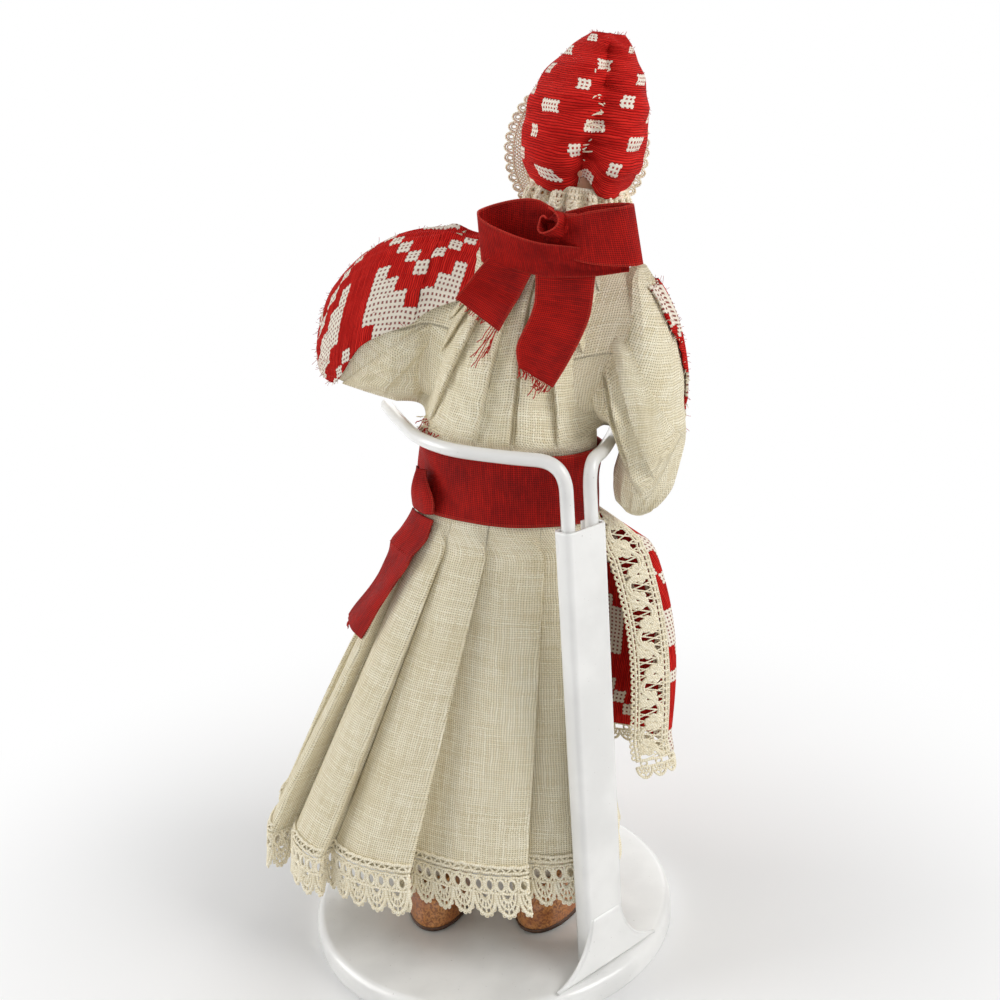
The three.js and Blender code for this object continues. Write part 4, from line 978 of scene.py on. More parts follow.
def torso_ring(z, grow_a, grow_b, angle):
    a = np.interp(z, TORSO_Z, TORSO_A) + grow_a
    b = np.interp(z, TORSO_Z, TORSO_B) + grow_b
    x = np.interp(z, TORSO_Z, TORSO_X) + a * np.cos(angle)
    y = np.interp(z, TORSO_Z, TORSO_Y) + b * np.sin(angle)
    return bent(x, y, z)


def torso():
    angle = ring_angles(48)
    z = np.linspace(-26, 64, 40)
    aa, zz = np.meshgrid(angle, z)
    rings = torso_ring(zz, 0.0, 0.0, aa)
    cloth = np.stack([aa * 14, zz], -1)
    solid("stuffed_body", rings, SKIN, "skin", "doll", ["torso"], cloth)


def fold(x):
    """One fold a unit, from -1 to 1, with a rounded ridge and a tighter valley."""
    wave = np.cos(TAU * x + 0.6 * np.sin(TAU * x))
    return wave + 0.25 * np.cos(2 * TAU * x)


def blouse_grow(angle, z):
    """How far the blouse stands off the body to the side and to the back, with its gathers in front."""
    full = smooth((z - 8.6) / 3.2) * smooth((57 - z) / 30)
    folds = smooth((z - 9.2) / 5) * smooth((57.5 - z) / 8)
    front = smooth(0.5 - np.sin(angle) / 0.6)
    off = off_from(angle, math.pi / 2)
    wander = 0.16 * np.sin(z / 11 + 3 * np.abs(off)) + 0.05 * np.sin(z / 3.1 + 9 * off)
    at = (np.abs(off) / TAU * 17 + wander + 0.5) % 1
    knife = np.interp(at, [0, 0.12, 0.8, 0.9, 1], [-0.7, -0.5, 0.75, 0.6, -0.7])
    knife = knife * (0.75 + 0.25 * np.sin(angle * 5 + 1)) * front
    puff = 1.5 * np.exp(-((z - 13.0) / 4.0) ** 2) * front
    aside = 0.9 + full * 0.9 + folds * knife * 0.5
    behind = 0.9 + full * lerp(2.4, 3.1, front) + folds * knife * 1.15 + puff * full
    return aside, behind


def blouse_loop(angle, sign, x):
    """A loop on the blouse's side, just under its cloth; angle 0 is the back and 90 degrees the top."""
    z = 33.5 + 19.5 * np.sin(angle)
    half_a = np.interp(z, TORSO_Z, TORSO_A) + 1.5
    half_b = np.interp(z, TORSO_Z, TORSO_B) + 0.6 + 2.6 * smooth((57 - z) / 30)
    deep = half_b * np.sqrt(np.clip(1 - (x / half_a) ** 2, 0, 1))
    y = deep * np.sign(np.cos(angle)) * np.abs(np.cos(angle)) ** 0.4
    return bent(sign * x, y - 0.6 * np.cos(angle), z)


def right_section(angle, x):
    """The right sleeve cut across at one distance from the body, as a loop like the blouse's."""
    rise = 39 + 16.8 * np.sin(angle)
    row = RIGHT_SLEEVE[::-1]
    y, out, wide, deep = (np.interp(rise, row[:, 0], row[:, k]) for k in (1, 2, 3, 4))
    share = (ARM_FACE + out + wide / 2 - x) / (wide / 2)
    half = deep / 2 * np.sqrt(np.clip(1 - share ** 2, 0, 1))
    return BUST(-x, y + half * np.sign(np.cos(angle)) * np.abs(np.cos(angle)) ** 0.4, rise)


def upright(x, z):
    """Bust coordinates turned back into those of the upright doll, before its spine leans."""
    p = (BUST(x, 0 * x, z) - WAIST.origin) @ WAIST.axes
    radius = BEND_LENGTH / BUST_LEAN
    rise, side = p[..., 2] - BEND_START, p[..., 0] + radius
    angle = np.arctan2(rise, side)
    low = angle < 0
    x_bend = np.where(low, p[..., 0], np.hypot(rise, side) - radius)
    z_bend = np.where(low, p[..., 2], BEND_START + angle * radius)
    past = angle > BUST_LEAN
    return np.where(past, x, x_bend), np.where(past, z, z_bend)


def shell(middle, half, share, size):
    """Depth of a round form's back, falling away evenly past its sides."""
    past = np.maximum(np.abs(share) - 1, 0)
    return middle + half * np.sqrt(np.clip(1 - share ** 2, 0, 1)) - FALL_AWAY * past * size


def back_depth(x, z):
    """How far back the blouse or a sleeve reaches behind a point of the bust frame."""
    out = x - ARM_FACE
    row = LEFT_SLEEVE
    y, rise, deep, tall = (np.interp(out, row[:, 0], row[:, k]) for k in (1, 2, 3, 4))
    past = np.maximum(-out, 0) + np.maximum(out - row[-1, 0], 0)
    left = shell(y, deep / 2, (z - rise) / (tall / 2), tall / 2) - FALL_AWAY * past
    row = RIGHT_SLEEVE[::-1]
    y, out, wide, deep = (np.interp(z, row[:, 0], row[:, k]) for k in (1, 2, 3, 4))
    past = np.maximum(row[0, 0] - z, 0) + np.maximum(z - row[-1, 0], 0)
    share = (x + ARM_FACE + out + wide / 2) / (wide / 2)
    right = shell(y, deep / 2, share, wide / 2) - FALL_AWAY * past
    ux, uz = upright(x, z)
    a = np.interp(uz, TORSO_Z, TORSO_A) + 1.5
    b = np.interp(uz, TORSO_Z, TORSO_B) + 0.9 + 3.1 * smooth((57 - uz) / 30) * smooth((uz - 8.6) / 3.2)
    body = shell(0, b, ux / a, a)
    return np.maximum(np.maximum(left, right), body)


# The blouse's back, gathered at the neck: where each fold starts and ends, across and up the bust
FOLD_AT = [0, 0.1, 0.22, 0.33, 0.45, 0.6, 0.68, 0.74, 0.79, 0.84, 0.9, 1]
FOLD_TOP_X = [9.5, 8.6, 7.0, 4.4, 1.5, -3.2, -5.6, -7.5, -9.0, -10.3, -11.8, -13.8]
FOLD_TOP_Z = [46, 48, 50.5, 52, 53, 54, 54.4, 54.6, 54.8, 54.9, 55, 55]
FOLD_END_X = [42, 32, 22.5, 14.5, 0.8, -10.8, -19.0, -24.4, -29.2, -33.0, -39.0, -42.6]
FOLD_END_Z = [9.5, 9.2, 9.0, 8.6, 9.4, 10.8, 13.0, 18.6, 18.4, 12.0, 6.4, 22]
# Where the folded edges lie across the back
FOLD_EDGE = [0, 0.13, 0.22, 0.33, 0.455, 0.56, 0.655, 0.735, 0.8, 0.87, 0.935, 1]


def back_drape(side, sign, first, last):
    """One half of the linen over the back and on to a sleeve, drawn tight and laid in knife pleats."""
    q = np.linspace(0, 1, 521)
    qq, ss = np.meshgrid(q, np.linspace(0, 1, 90))
    x = lerp(stations(qq, FOLD_AT, FOLD_TOP_X), stations(qq, FOLD_AT, FOLD_END_X), ss)
    z = lerp(stations(qq, FOLD_AT, FOLD_TOP_Z), stations(qq, FOLD_AT, FOLD_END_Z), ss)
    base = back_depth(x, z)
    tight = base.copy()
    for _ in range(160):
        blur = tight.copy()
        blur[1:-1] = (tight[:-2] + 2 * tight[1:-1] + tight[2:]) / 4
        blur[:, 2:-2] = (blur[:, :-4] + 2 * blur[:, 2:-2] + blur[:, 4:]) / 4
        tight = np.maximum(base, blur)
    edge = smooth(ss / 0.12) * smooth((1 - ss) / 0.1) * smooth(qq / 0.035) * smooth((1 - qq) / 0.035)
    place = np.interp(qq, FOLD_EDGE, np.arange(len(FOLD_EDGE)))
    at = place % 1
    left_lay = np.interp(at, [0, 0.72, 0.86, 0.93, 1], [-0.5, 0.95, 1.0, -0.55, -0.5])
    right_lay = np.interp(at, [0, 0.07, 0.14, 0.28, 1], [-0.5, -0.55, 1.0, 0.95, -0.5])
    lay = np.where(qq < 0.56, left_lay, right_lay)
    size = np.interp(qq, [0, 0.1, 0.25, 0.45, 0.55, 0.7, 0.8, 0.9, 1],
                     [0.3, 1.2, 1.9, 1.7, 1.4, 2.2, 1.9, 1.3, 0.3])
    deep = size * (0.4 + 0.6 * np.sin(math.pi * np.clip(ss * 0.8 + 0.1, 0, 1)))
    crumple = 0.22 * np.sin(ss * 21 + 8 * qq) * np.sin(qq * 37) + 0.16 * np.sin(ss * 43 + 13 * np.sin(qq * 9))
    y = tight - 0.5 + edge * (1.2 + deep * lay + crumple)
    clear = 18.9 + 9 * smooth((z - 12.5) / 5)
    y = np.minimum(y, clear)
    points = BUST(x, y, z)
    keep = (q >= first) & (q <= last)
    run = run_across(points)
    middle = len(q) // 2
    run = run - run[:, middle:middle + 1]
    down = run_across(points.swapaxes(0, 1)).T
    cloth = np.stack([run, down], -1)[:, keep]
    points = points[:, keep]
    piece = soft_web(f"blouse_back_{side}", points, cloth, LINEN, "linen", sign, 0.4)
    wide = widest(points)
    long = steps(points, 0).sum(0).max() * MM
    sheet_area(points)


def underarm_frays():
    """Raw edges of linen and red weave that hang out below the left sleeve, over the sash."""
    t = np.linspace(0, 1, 8)[None, :, None]
    spread = ((-0.3, 0.9), (0.1, 0.9), (-0.9, 0.2))
    for name, material, slot, count, reach in (("linen", LACE_THREAD, "linen", 60, 2.6),
                                               ("red", RED_THREAD, "woven_red", 46, 3.4)):
        x = rng.uniform(12.5, 20.5, count)
        y = rng.uniform(4.5, 8.5, count) + (20.5 - x) * 0.5
        roots = bent(x, y, rng.uniform(10.6, 13.2, count))
        way = np.stack([rng.uniform(low, high, count) for low, high in spread], -1)
        wild = np.cumsum(rng.normal(0, 0.16, (count, 8, 3)), 1) * t
        lines = roots[:, None] + way[:, None] * t * reach * rng.uniform(0.5, 1, (count, 1, 1)) + wild
        tubes(f"underarm_frays_{name}", [(lines, 0.13)], 4, material, slot, "doll")


def gusset_points(side, sign, angle, w):
    """The web of cloth from the blouse's side to the sleeve, as rows of loops."""
    near = blouse_loop(angle, sign, 10.5)
    leave = (blouse_loop(angle, sign, 12.0) - near) * 6.0
    if side == "left":
        before, far = (left_sleeve_point(np.full(len(angle), s), angle, left_folds(s, angle) - 0.1)
                       for s in (0.15, 0.2))
        arrive = (far - before) * 5.0
    else:
        far = right_section(angle, 25.5)
        arrive = (far - right_section(angle, 24.0)) * 7.0
    return hermite(near, far, leave, arrive, w[:, None, None])


def outward(points):
    """Directions from the middle of each loop of points."""
    out = points - points.mean(1, keepdims=True)
    return out / (np.linalg.norm(out, axis=-1, keepdims=True) + 1e-9)


def soft_web(name, points, cloth, material, slot, sign, thick=0.0, closed=False):
    """Puts in a cloth, with its transform baked into its points."""
    data = mesh_of(name, points, quads(*points.shape[:2], closed), cloth)
    piece = put_in(name, data, material, slot, thick)
    BUST(sign * 14, 0, 34) * MM
    BUST(sign * 22, 0, 34) * MM
    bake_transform(piece)
    return piece


def left_yoke():
    """The woven panel's upper end, from the left sleeve in to the bow."""
    w = np.linspace(0.12, 1, 40)
    share = np.linspace(0, 1, 150)
    start = np.radians(lerp(27, 1.5, w))
    angle = lerp(start[:, None], math.pi, share[None])
    points = np.stack([gusset_points("left", 1, row, np.array([at]))[0] for row, at in zip(angle, w)])
    loop = np.linspace(0, TAU, 120)
    middle = np.stack([gusset_points("left", 1, loop, np.array([at]))[0].mean(0) for at in w])[:, None]
    ruck = 0.18 * np.cos(angle * 34 + 1) + 0.35 * np.sin(w * 9)[:, None] * np.sin(math.pi * share)
    points = points + unit(points - middle) * (1.0 + ruck * np.sin(math.pi * share))[..., None]
    full = steps(left_sleeve_point(np.full(90, 0.2), np.linspace(0, TAU, 90), 0.0), 0).sum()
    down = run_along(points[:, 75])
    around = (angle - math.pi / 2) / TAU * max(full, 60)
    cloth = np.stack([np.broadcast_to((down - down[-1])[:, None], around.shape), around], -1)
    piece = soft_web("sleeve_panel_left_yoke", points, cloth, SLEEVE_RED, "woven_red", 1, 0.6)
    width = widest(points)
    sheet_area(points)


def gusset(side, sign):
    """Linen between the blouse and one sleeve: it meets the blouse at one edge and the sleeve at the other.
    """
    columns = 220
    angle = ring_angles(columns)
    w = np.linspace(0, 1, 34)
    points = gusset_points(side, sign, angle, w)
    ww, aa = np.meshgrid(w, angle, indexing="ij")
    front = smooth(0.5 - np.cos(aa) / 0.6)
    gathers = 0.5 * fold(aa / TAU * 15 + 0.25 * ww) * np.sin(math.pi * ww) ** 0.7
    hollow = 0.5 * (1 - front) * np.sin(math.pi * ww)
    points = points + outward(points) * (gathers * front - hollow)[..., None]
    u = run_across(closed_rows(points))[:, 1:]
    down = run_along(points[:, 5])
    cloth = cloth_of(u, down)
    piece = soft_web(f"gusset_{side}", points, cloth, LINEN, "linen", sign, closed=True)
    sheet_area(points, True)


def blouse():
    columns = 380
    angle = ring_angles(columns)
    z = np.linspace(-0.2, 57.2, 70)
    aa, zz = np.meshgrid(angle, z)
    points = torso_ring(zz, *blouse_grow(aa, zz), aa)
    u = run_across(closed_rows(points))[:, 1:]
    u = u - u[:, columns // 4:columns // 4 + 1]
    cloth = np.stack([u, np.broadcast_to(zz * 1.03, u.shape)], -1)
    piece = grid("blouse", points, cloth, LINEN, "linen", "doll", ["blouse_body"], thick=0.55, closed=True)


def selvedge_share(across):
    """0 in the middle of a ribbon, 1 at its two edges."""
    return np.abs(across * 2 - 1)


def sash():
    columns = 200
    t = np.arange(columns) / columns
    rows = np.linspace(0, 1, 19)
    tt, rr = np.meshgrid(t, rows)
    angle = tt * TAU
    z = lerp(-SASH_WIDTH / 2, SASH_WIDTH / 2, rr)
    crease = 0.32 * np.sin(3 * angle + 5 * rr) * np.sin(math.pi * rr) + 0.25 * np.cos(7 * angle + 9 * rr)
    roll = 0.35 * selvedge_share(rr) ** 6
    points = WAIST((22.5 + crease + roll) * np.cos(angle), (16.3 + crease + roll) * np.sin(angle), z)
    u = angle * 19.6
    cloth = np.stack([u, rr * SASH_WIDTH, selvedge_share(rr)], -1)
    piece = grid("sash_band", points, cloth, SASH_RED, "ribbon", "doll", ["sash"], thick=0.5, closed=True)


def sash_knot():
    """The tied end: the ribbon folded over the sash's lower edge, flat."""
    across = np.linspace(-1, 1, 29)
    down = np.linspace(0, 1, 36)
    ac, dd = np.meshgrid(across, down)
    half = lerp(2.2, 6.2, smooth(dd * 1.2))
    angle = np.radians(lerp(41, 37, dd)) + ac * half / 22.5
    z = lerp(2.5, -8.2, dd) - 0.8 * (1 - ac ** 2) * dd
    swell = 0.9 + 1.5 * (1 - ac ** 2) * np.sin(math.pi * np.clip(dd * 0.8 + 0.2, 0, 1))
    crease = 0.22 * np.cos(ac * 6 + dd * 3) * (1 - dd * 0.5)
    out = 0.5 + swell + crease
    points = WAIST((SASH_A + out) * np.cos(angle), (SASH_B + out) * np.sin(angle), z)
    cloth = np.stack([ac * 6.2, dd * 12, np.abs(ac)], -1)
    piece = grid("sash_knot_wrap", points, cloth, SASH_RED, "ribbon", "doll", ["sash_knot"], thick=0.6)


def sash_tail():
    """The tail hangs over the skirt, its lower outer corner standing off, with a light stitched line."""
    v = np.linspace(0.008, 0.372, 60)
    across = np.linspace(0, 1, 29)
    ac, vv = np.meshgrid(across, v)
    share = vv / 0.372
    half = lerp(5.6, 7.0, smooth(share * 5)) / lerp(WAIST_A, HEM_WIDTH / 2, vv)
    angle = np.radians(lerp(38, 23, share)) + (2 * ac - 1) * half
    curl = 0.5 * np.sin(ac * 5 + vv * 14) * smooth(vv / 0.1)
    curl = curl + 2.6 * smooth((share - 0.55) / 0.45) * (1 - ac) ** 2
    bend = 0.9 * np.exp(-((share - 0.3) / 0.07) ** 2)
    slant = 0.022 * (ac - 0.5) * smooth((share - 0.7) / 0.3)
    base = PLEAT_DEPTH * vv ** 0.7 + 1.1 + 1.4 * vv + 1.3 * np.exp(-vv / 0.05)
    points = skirt_point(vv + slant, angle, base + curl + bend)
    down = run_along(points[:, 14])
    run = np.broadcast_to(down[:, None], ac.shape)
    cloth = np.stack([ac * 12.8, run, selvedge_share(ac)], -1)
    piece = grid("sash_tail_ribbon", points, cloth, SASH_RED, "ribbon", "doll", ["sash_tail"], thick=0.45)
    row = points[int(0.29 * len(v))] * 0.5 + points[int(0.31 * len(v))] * 0.5
    middle = skirt_point(0.1, math.radians(34), 0)
    stitches = []
    for k in range(14):
        at = row[2 * k:2 * k + 2]
        lift = unit(at - middle)
        ends = at + lift * 0.3
        stitches.append(np.stack([ends[0], ends.mean(0) + lift[0] * 0.15, ends[1]]))
    groups = [(np.array(stitches), 0.16)]
    corner = points[-1, :7]
    loose = corner[:, None] + np.linspace(0, 1, 6)[None, :, None] * np.array([0.6, 0.4, -2.6])
    groups.append((loose + rng.normal(0, 0.25, loose.shape) * np.linspace(0, 1, 6)[None, :, None], 0.1))
    tubes("sash_tail_threads", groups, 5, RIBBON_THREAD, "ribbon", "doll")


# Apron

def apron_skin(u, v):
    angle = lerp(math.radians(203.3) - v * math.radians(11.9), math.radians(318), u)
    arch = np.sin(math.pi * (0.1 + 0.8 * np.clip(u, 0, 1))) ** 0.7
    puff = 9 * np.sin(math.pi * np.minimum(1, 1.25 * v)) * arch
    rise = np.minimum(1, 7 * v)
    bulge = 15.5 * rise * (1 - u) ** 6
    curl = 19.3 * rise * np.exp(-u / 0.031)
    fold_out = v * np.cos(10 * math.pi * u)
    front = 4.2 * np.minimum(1, 6 * v) + CLEARANCE
    return skirt_point(v, angle, front + puff + 6.4 * v * (1 - u) + fold_out + bulge - curl)


def strip_share(v, side, width):
    """How far a strip of a given width, measured along the cloth, reaches in from one side of the apron."""
    share = np.linspace(0, 0.5, 1200)
    line = apron_skin(np.abs(side - share)[None], v[:, None])
    reach = run_across(line)
    return np.array([np.interp(w, row, share) for w, row in zip(width, reach)])


def apron_point(u, v, lift):
    """A point of the apron: u runs from its right edge to its left, v down; lift is off its face."""
    u, v = np.broadcast_arrays(np.asarray(u, float), np.asarray(v, float))
    step = 0.002
    across = apron_skin(u + step, v) - apron_skin(u - step, v)
    down = apron_skin(u, v + step) - apron_skin(u, v - step)
    return apron_skin(u, v) + unit(np.cross(down, across)) * lift


def apron():
    v = np.linspace(0.012, APRON_LENGTH, 60)
    u = np.linspace(0, 1, 221) ** 1.25
    middle = len(u) // 2
    vv = np.broadcast_to(v[:, None], (len(v), len(u)))
    lace_width = 10 * lerp(0.25, 1, np.minimum(1, 8 * v))
    right, left = strip_share(v, 0, lace_width), strip_share(v, 1, lace_width)
    inner = lerp(right[:, None], 1 - left[:, None], u[None])
    points = apron_point(inner, vv, APRON_OFF)
    run = run_across(points)
    down = run_along(points[:, middle])
    cloth = cloth_of(run - run[:, middle:middle + 1], down)
    piece = grid("apron_cloth", points, cloth, APRON_RED, "woven_red", "doll", ["apron"], thick=0.6)
    sheet_area(points)
    apron_side_lace("right", 0.0, v, right, down[-1])
    apron_side_lace("left", 1.0, v, left, down[-1])
    apron_edging()


def apron_side_lace(name, start, v, share, length):
    """Bobbin lace strip down one side of the apron: ladders, petals round eyelets, a looped free edge."""
    sign = 1 if start == 0 else -1
    deep = np.linspace(0, 1, 25)
    reach = run_across(apron_point(start + sign * share[:, None] * deep, v[:, None], APRON_OFF))
    reach = reach / reach[:, -1:]

    def surface(across, d):
        at = np.interp(d, [0, length], [v[0], v[-1]])
        row = np.clip(np.searchsorted(v, at), 0, len(v) - 1)
        even = np.array([np.interp(a, reach[r], deep, left=a) if a >= 0 else a
                         for a, r in zip(across.ravel(), row.ravel())]).reshape(across.shape)
        wide = np.interp(at, v, share)
        return apron_point(start + sign * wide * even, at, APRON_OFF)

    lace = Lace(surface)
    d = np.linspace(0, length, 200)
    for across, radius in ((0.04, 0.4), (0.13, 0.32), (0.8, 0.32), (0.9, 0.3), (0.98, 0.4)):
        lace.lay(across, d, radius)
    web = np.linspace(0, 1, 5)
    at = spaced(length, 1.9)
    lace.lay(lerp(0.04, 0.13, web), at, 0.3)
    lace.lay(lerp(0.8, 0.98, web), at, 0.34)
    lace.eyelet(0.0, at, 0.05, 0.75, 0.3)
    at = spaced(length, 7.6)
    flowers = len(at)
    wave = 0.46 + 0.09 * np.cos(np.arange(flowers) * math.pi)[:, None]
    for petal in np.arange(6) / 6 * TAU + 0.3:
        x, y = wave + 0.17 * math.cos(petal), at + 1.75 * math.sin(petal)
        for size, radius in ((1.0, 0.42), (0.45, 0.4)):
            lace.eyelet(x, y, 0.085 * size, 0.85 * size, radius)
    lace.eyelet(wave, at, 0.07, 0.65, 0.3)
    for swing, radius in ((0.3, 0.46), (0.22, 0.4)):
        lace.lay(0.46 + swing * np.cos(d / length * flowers * math.pi), d, radius)
    at = spaced(length, 1.05)
    slant = np.where(np.arange(len(at))[:, None] % 2, 1.1, -1.1)
    lace.lay(lerp(0.13, 0.8, web), np.clip(at + slant * (web - 0.5) * 2, 0, length), 0.2)
    tubes(f"apron_lace_{name}_threads", lace.groups, 5, LACE_THREAD, "lace", "doll", [f"apron_lace_{name}"])


def apron_edging():
    """Lace along the apron's lower edge."""
    heading, deep = 2.2, 3.4
    fall = TOP_POINT[2] - HEM_POINT[2]
    u = np.linspace(0, 1, 400)
    run = run_along(apron_point(u, APRON_LENGTH, APRON_OFF))
    total = run[-1]
    units = int(total / 4.2)
    pitch = total / units
    start = np.arange(units)[:, None] * pitch

    def surface(s, d):
        return apron_point(np.interp(s, run, u), APRON_LENGTH + d / fall, APRON_OFF)

    lace = Lace(surface)
    for d, radius in ((0.2, 0.36), (heading, 0.32)):
        lace.lay(np.linspace(0, total, 500), d, radius)
    lace.eyelet(start + pitch * 0.5, 1.2, 0.9, 0.8, 0.3)
    for wide, tall, radius in ((0.5, deep, 0.4), (0.3, 2.0, 0.32)):
        lace.scallop(start, pitch, heading, wide, tall, radius, 13)
    for ray in np.radians([45, 90, 135]):
        lace.ray(start, pitch, heading, deep, ray, np.linspace(0.2, 1, 4), 0.26)
    tubes("apron_edging", lace.groups, 5, LACE_THREAD, "lace", "doll", ["apron_fringe"])


# Sleeves, cuffs and hands

LEFT_SLEEVE = np.array([
    (0, -2.5, 40.5, 17, 28), (3, -3, 33, 23, 41), (8, -3.5, 29.9, 27, 42.6), (16, -4, 27.9, 28.5, 38.9),
    (23.5, -4.5, 24.7, 25, 32.6), (28.5, -5, 21.7, 18, 24.6), (30.9, -5, 20.5, 9, 13), (31.5, -5, 20, 3.5, 5),
])
RIGHT_SLEEVE = np.array([
    (57, -2.5, 1.5, 3.5, 8), (53.5, -2.5, 0, 8.2, 15), (47.5, -2.5, 0, 13.6, 22), (40.5, -2.5, 0, 17.5, 26),
    (30, -2.5, 0, 21.2, 28.5), (24, -2.5, 1, 22, 29), (18.8, -2.5, 9.4, 14.8, 27.5), (9, -3, 9.4, 14.8, 24),
    (2, -4, 11.5, 10.8, 16), (-1.4, -5, 14, 6.4, 9),
])
# Angles, in degrees, at which the woven panel begins on each ring
LEFT_SEAM = [-10, 2, 0, -13, -60, -85, -90, -90]
RIGHT_SEAM = [105, 140, 152, 185, 205, 215, 225, 235, 235, 235]


def left_sleeve_point(s, angle, lift):
    """s runs out along the sleeve from 0 to 1; angle 90 degrees is the top, 0 the back."""
    key = np.linspace(0, 1, len(LEFT_SLEEVE))
    out, y, rise, deep, tall = (stations(s, key, LEFT_SLEEVE[:, k]) for k in range(5))
    y = y + (deep / 2 + lift) * np.cos(angle)
    return BUST(ARM_FACE + out, y, rise + (tall / 2 + lift) * np.sin(angle))


def right_sleeve_point(s, angle, lift):
    """s runs down the sleeve from 0 to 1; angle 180 degrees is the outer side, 90 the back."""
    key = np.linspace(0, 1, len(RIGHT_SLEEVE))
    rise, y, out, wide, deep = (stations(s, key, RIGHT_SLEEVE[:, k]) for k in range(5))
    middle = -(ARM_FACE + out + wide / 2)
    return BUST(middle + (wide / 2 + lift) * np.cos(angle), y + (deep / 2 + lift) * np.sin(angle), rise)


def left_folds(s, angle):
    gather = fold(angle / TAU * 15 + 0.3 * s) * 0.55 * smooth((0.5 - s) / 0.5)
    wrist = fold(angle / TAU * 13) * 0.45 * smooth((s - 0.55) / 0.4)
    soft = 0.6 * np.sin(3 * angle + 7 * s) * np.sin(math.pi * s)
    covered = smooth((np.cos(angle + 0.8) - 0.2) / 0.5)
    return (gather + wrist + soft) * np.minimum(1, 12 * s) * (1 - 0.8 * covered) - 0.35 - 0.4 * covered


def right_folds(s, angle):
    gather = fold(angle / TAU * 14 + 0.4 * s) * 0.5 * smooth((0.55 - s) / 0.5)
    wrist = fold(angle / TAU * 12) * 0.5 * smooth((s - 0.5) / 0.4)
    soft = 0.6 * np.sin(3 * angle + 6 * s) * np.sin(math.pi * s)
    covered = smooth((np.sin(angle) - 0.2) / 0.5) * smooth((0.95 - s) / 0.2)
    folds = (gather + wrist + soft) * np.minimum(1, 12 * s) * np.minimum(1, 12 * (1 - s))
    return folds * (1 - 0.8 * covered) - 0.35 - 0.4 * covered


def fuzz(name, roots, out, body, length=1.1, radius=0.055, material=RED_THREAD,
         slot="woven_red"):
    """Loose fibres that stand off a woven face."""
    count = len(roots)
    out = out / (np.linalg.norm(out, axis=-1, keepdims=True) + 1e-9)
    way = out + rng.normal(0, 0.55, (count, 3))
    t = np.linspace(0, 1, 4)[None, :, None]
    reach = length * rng.uniform(0.4, 1.0, (count, 1, 1))
    bend = rng.normal(0, 0.35, (count, 1, 3)) * length
    lines = roots[:, None] + way[:, None] * t * reach + bend * t ** 2
    tubes(name, [(lines, radius)], 3, material, slot, body)


def sleeve(side, point, folds, seam, edge, first, last):
    body = f"arm_{side}"
    s = np.linspace(0, 1, 84)
    angle = ring_angles(168)
    aa, ss = np.meshgrid(angle, s)
    points = point(ss, aa, folds(ss, aa))
    u = run_across(points)
    down = run_along(points[:, 42])
    cloth = np.stack([np.broadcast_to(down[:, None], u.shape), u], -1)
    puff = solid(f"sleeve_{side}_puff", points, LINEN, "linen", body, [f"sleeve_{side}"], cloth)

    s = np.linspace(first, last, 72)
    across = np.linspace(0, 1, 150)
    cc, ss = np.meshgrid(across, s)
    start = np.radians(stations(ss, np.linspace(0, 1, len(seam)), seam))
    aa = lerp(start, math.radians(edge), cc)
    ruck = 0.18 * np.cos(aa * 34 + 5 * ss)
    points = point(ss, aa, folds(ss, aa) + 0.95 + ruck)
    ring = np.linspace(0, TAU, 90)
    full = steps(point(ss[:, :1], ring[None], 0.0), 1).sum(1)
    down = run_along(points[:, 75])
    around = (aa - math.radians(edge) / 2) / TAU * np.maximum(full, 60)[:, None]
    cloth = np.stack([np.broadcast_to(down[:, None], around.shape), around], -1)
    piece = grid(f"sleeve_panel_{side}_cloth", points, cloth, SLEEVE_RED, "woven_red", body,
                 [f"sleeve_panel_{side}"], thick=0.6)
    width = widest(points)
    sheet_area(points)
    count = 420
    pick_r = rng.integers(0, points.shape[0], count)
    pick_c = rng.integers(0, points.shape[1], count)
    roots = points[pick_r, pick_c]
    out = roots - points.reshape(-1, 3).mean(0)
    fuzz(f"sleeve_panel_{side}_fuzz", roots, out, body)
    raw = points[:, 0]
    rows = rng.integers(0, len(raw) - 1, 30)
    out = raw[rows] - points[rows, 12]
    fuzz(f"sleeve_panel_{side}_fray", raw[rows], out, body, 1.0, 0.09, LACE_THREAD, "lace")


ARMS = {
    "left": (1, (20, -6, 22), (8, -18, 13)),
    "right": (-1, (17.6, 1, 15), (16.5, -16, 9)),
}


def limb_rings(line, radius, sides=24, flat=1.0):
    rings = tube_rings(line[None], np.asarray(radius)[None], sides)[0]
    middle = line[:, None]
    if flat != 1.0:
        tangent = np.gradient(line, axis=0)
        up = np.array([0, 0, 1.0]) - tangent * tangent[:, 2:] / (tangent ** 2).sum(1, keepdims=True)
        up /= np.linalg.norm(up, axis=1, keepdims=True)
        height = ((rings - middle) * up[:, None]).sum(-1, keepdims=True)
        rings = rings - up[:, None] * height * (1 - flat)
    return rings


def rounded(start, end, radii, count=28):
    """A line from start to end past both by the end radii, with radii that close at both ends."""
    start, end = np.asarray(start, float), np.asarray(end, float)
    way = unit(end - start)
    line = along(np.stack([start - way * radii[0] * 0.45, end + way * radii[-1] * 0.45]), count)
    at = np.linspace(0, 1, count)
    radius = np.interp(at, np.linspace(0, 1, len(radii)), radii)
    close = np.sqrt(np.clip(1 - (np.abs(at * 2 - 1)) ** 14, 0.12, 1))
    return line, radius * close


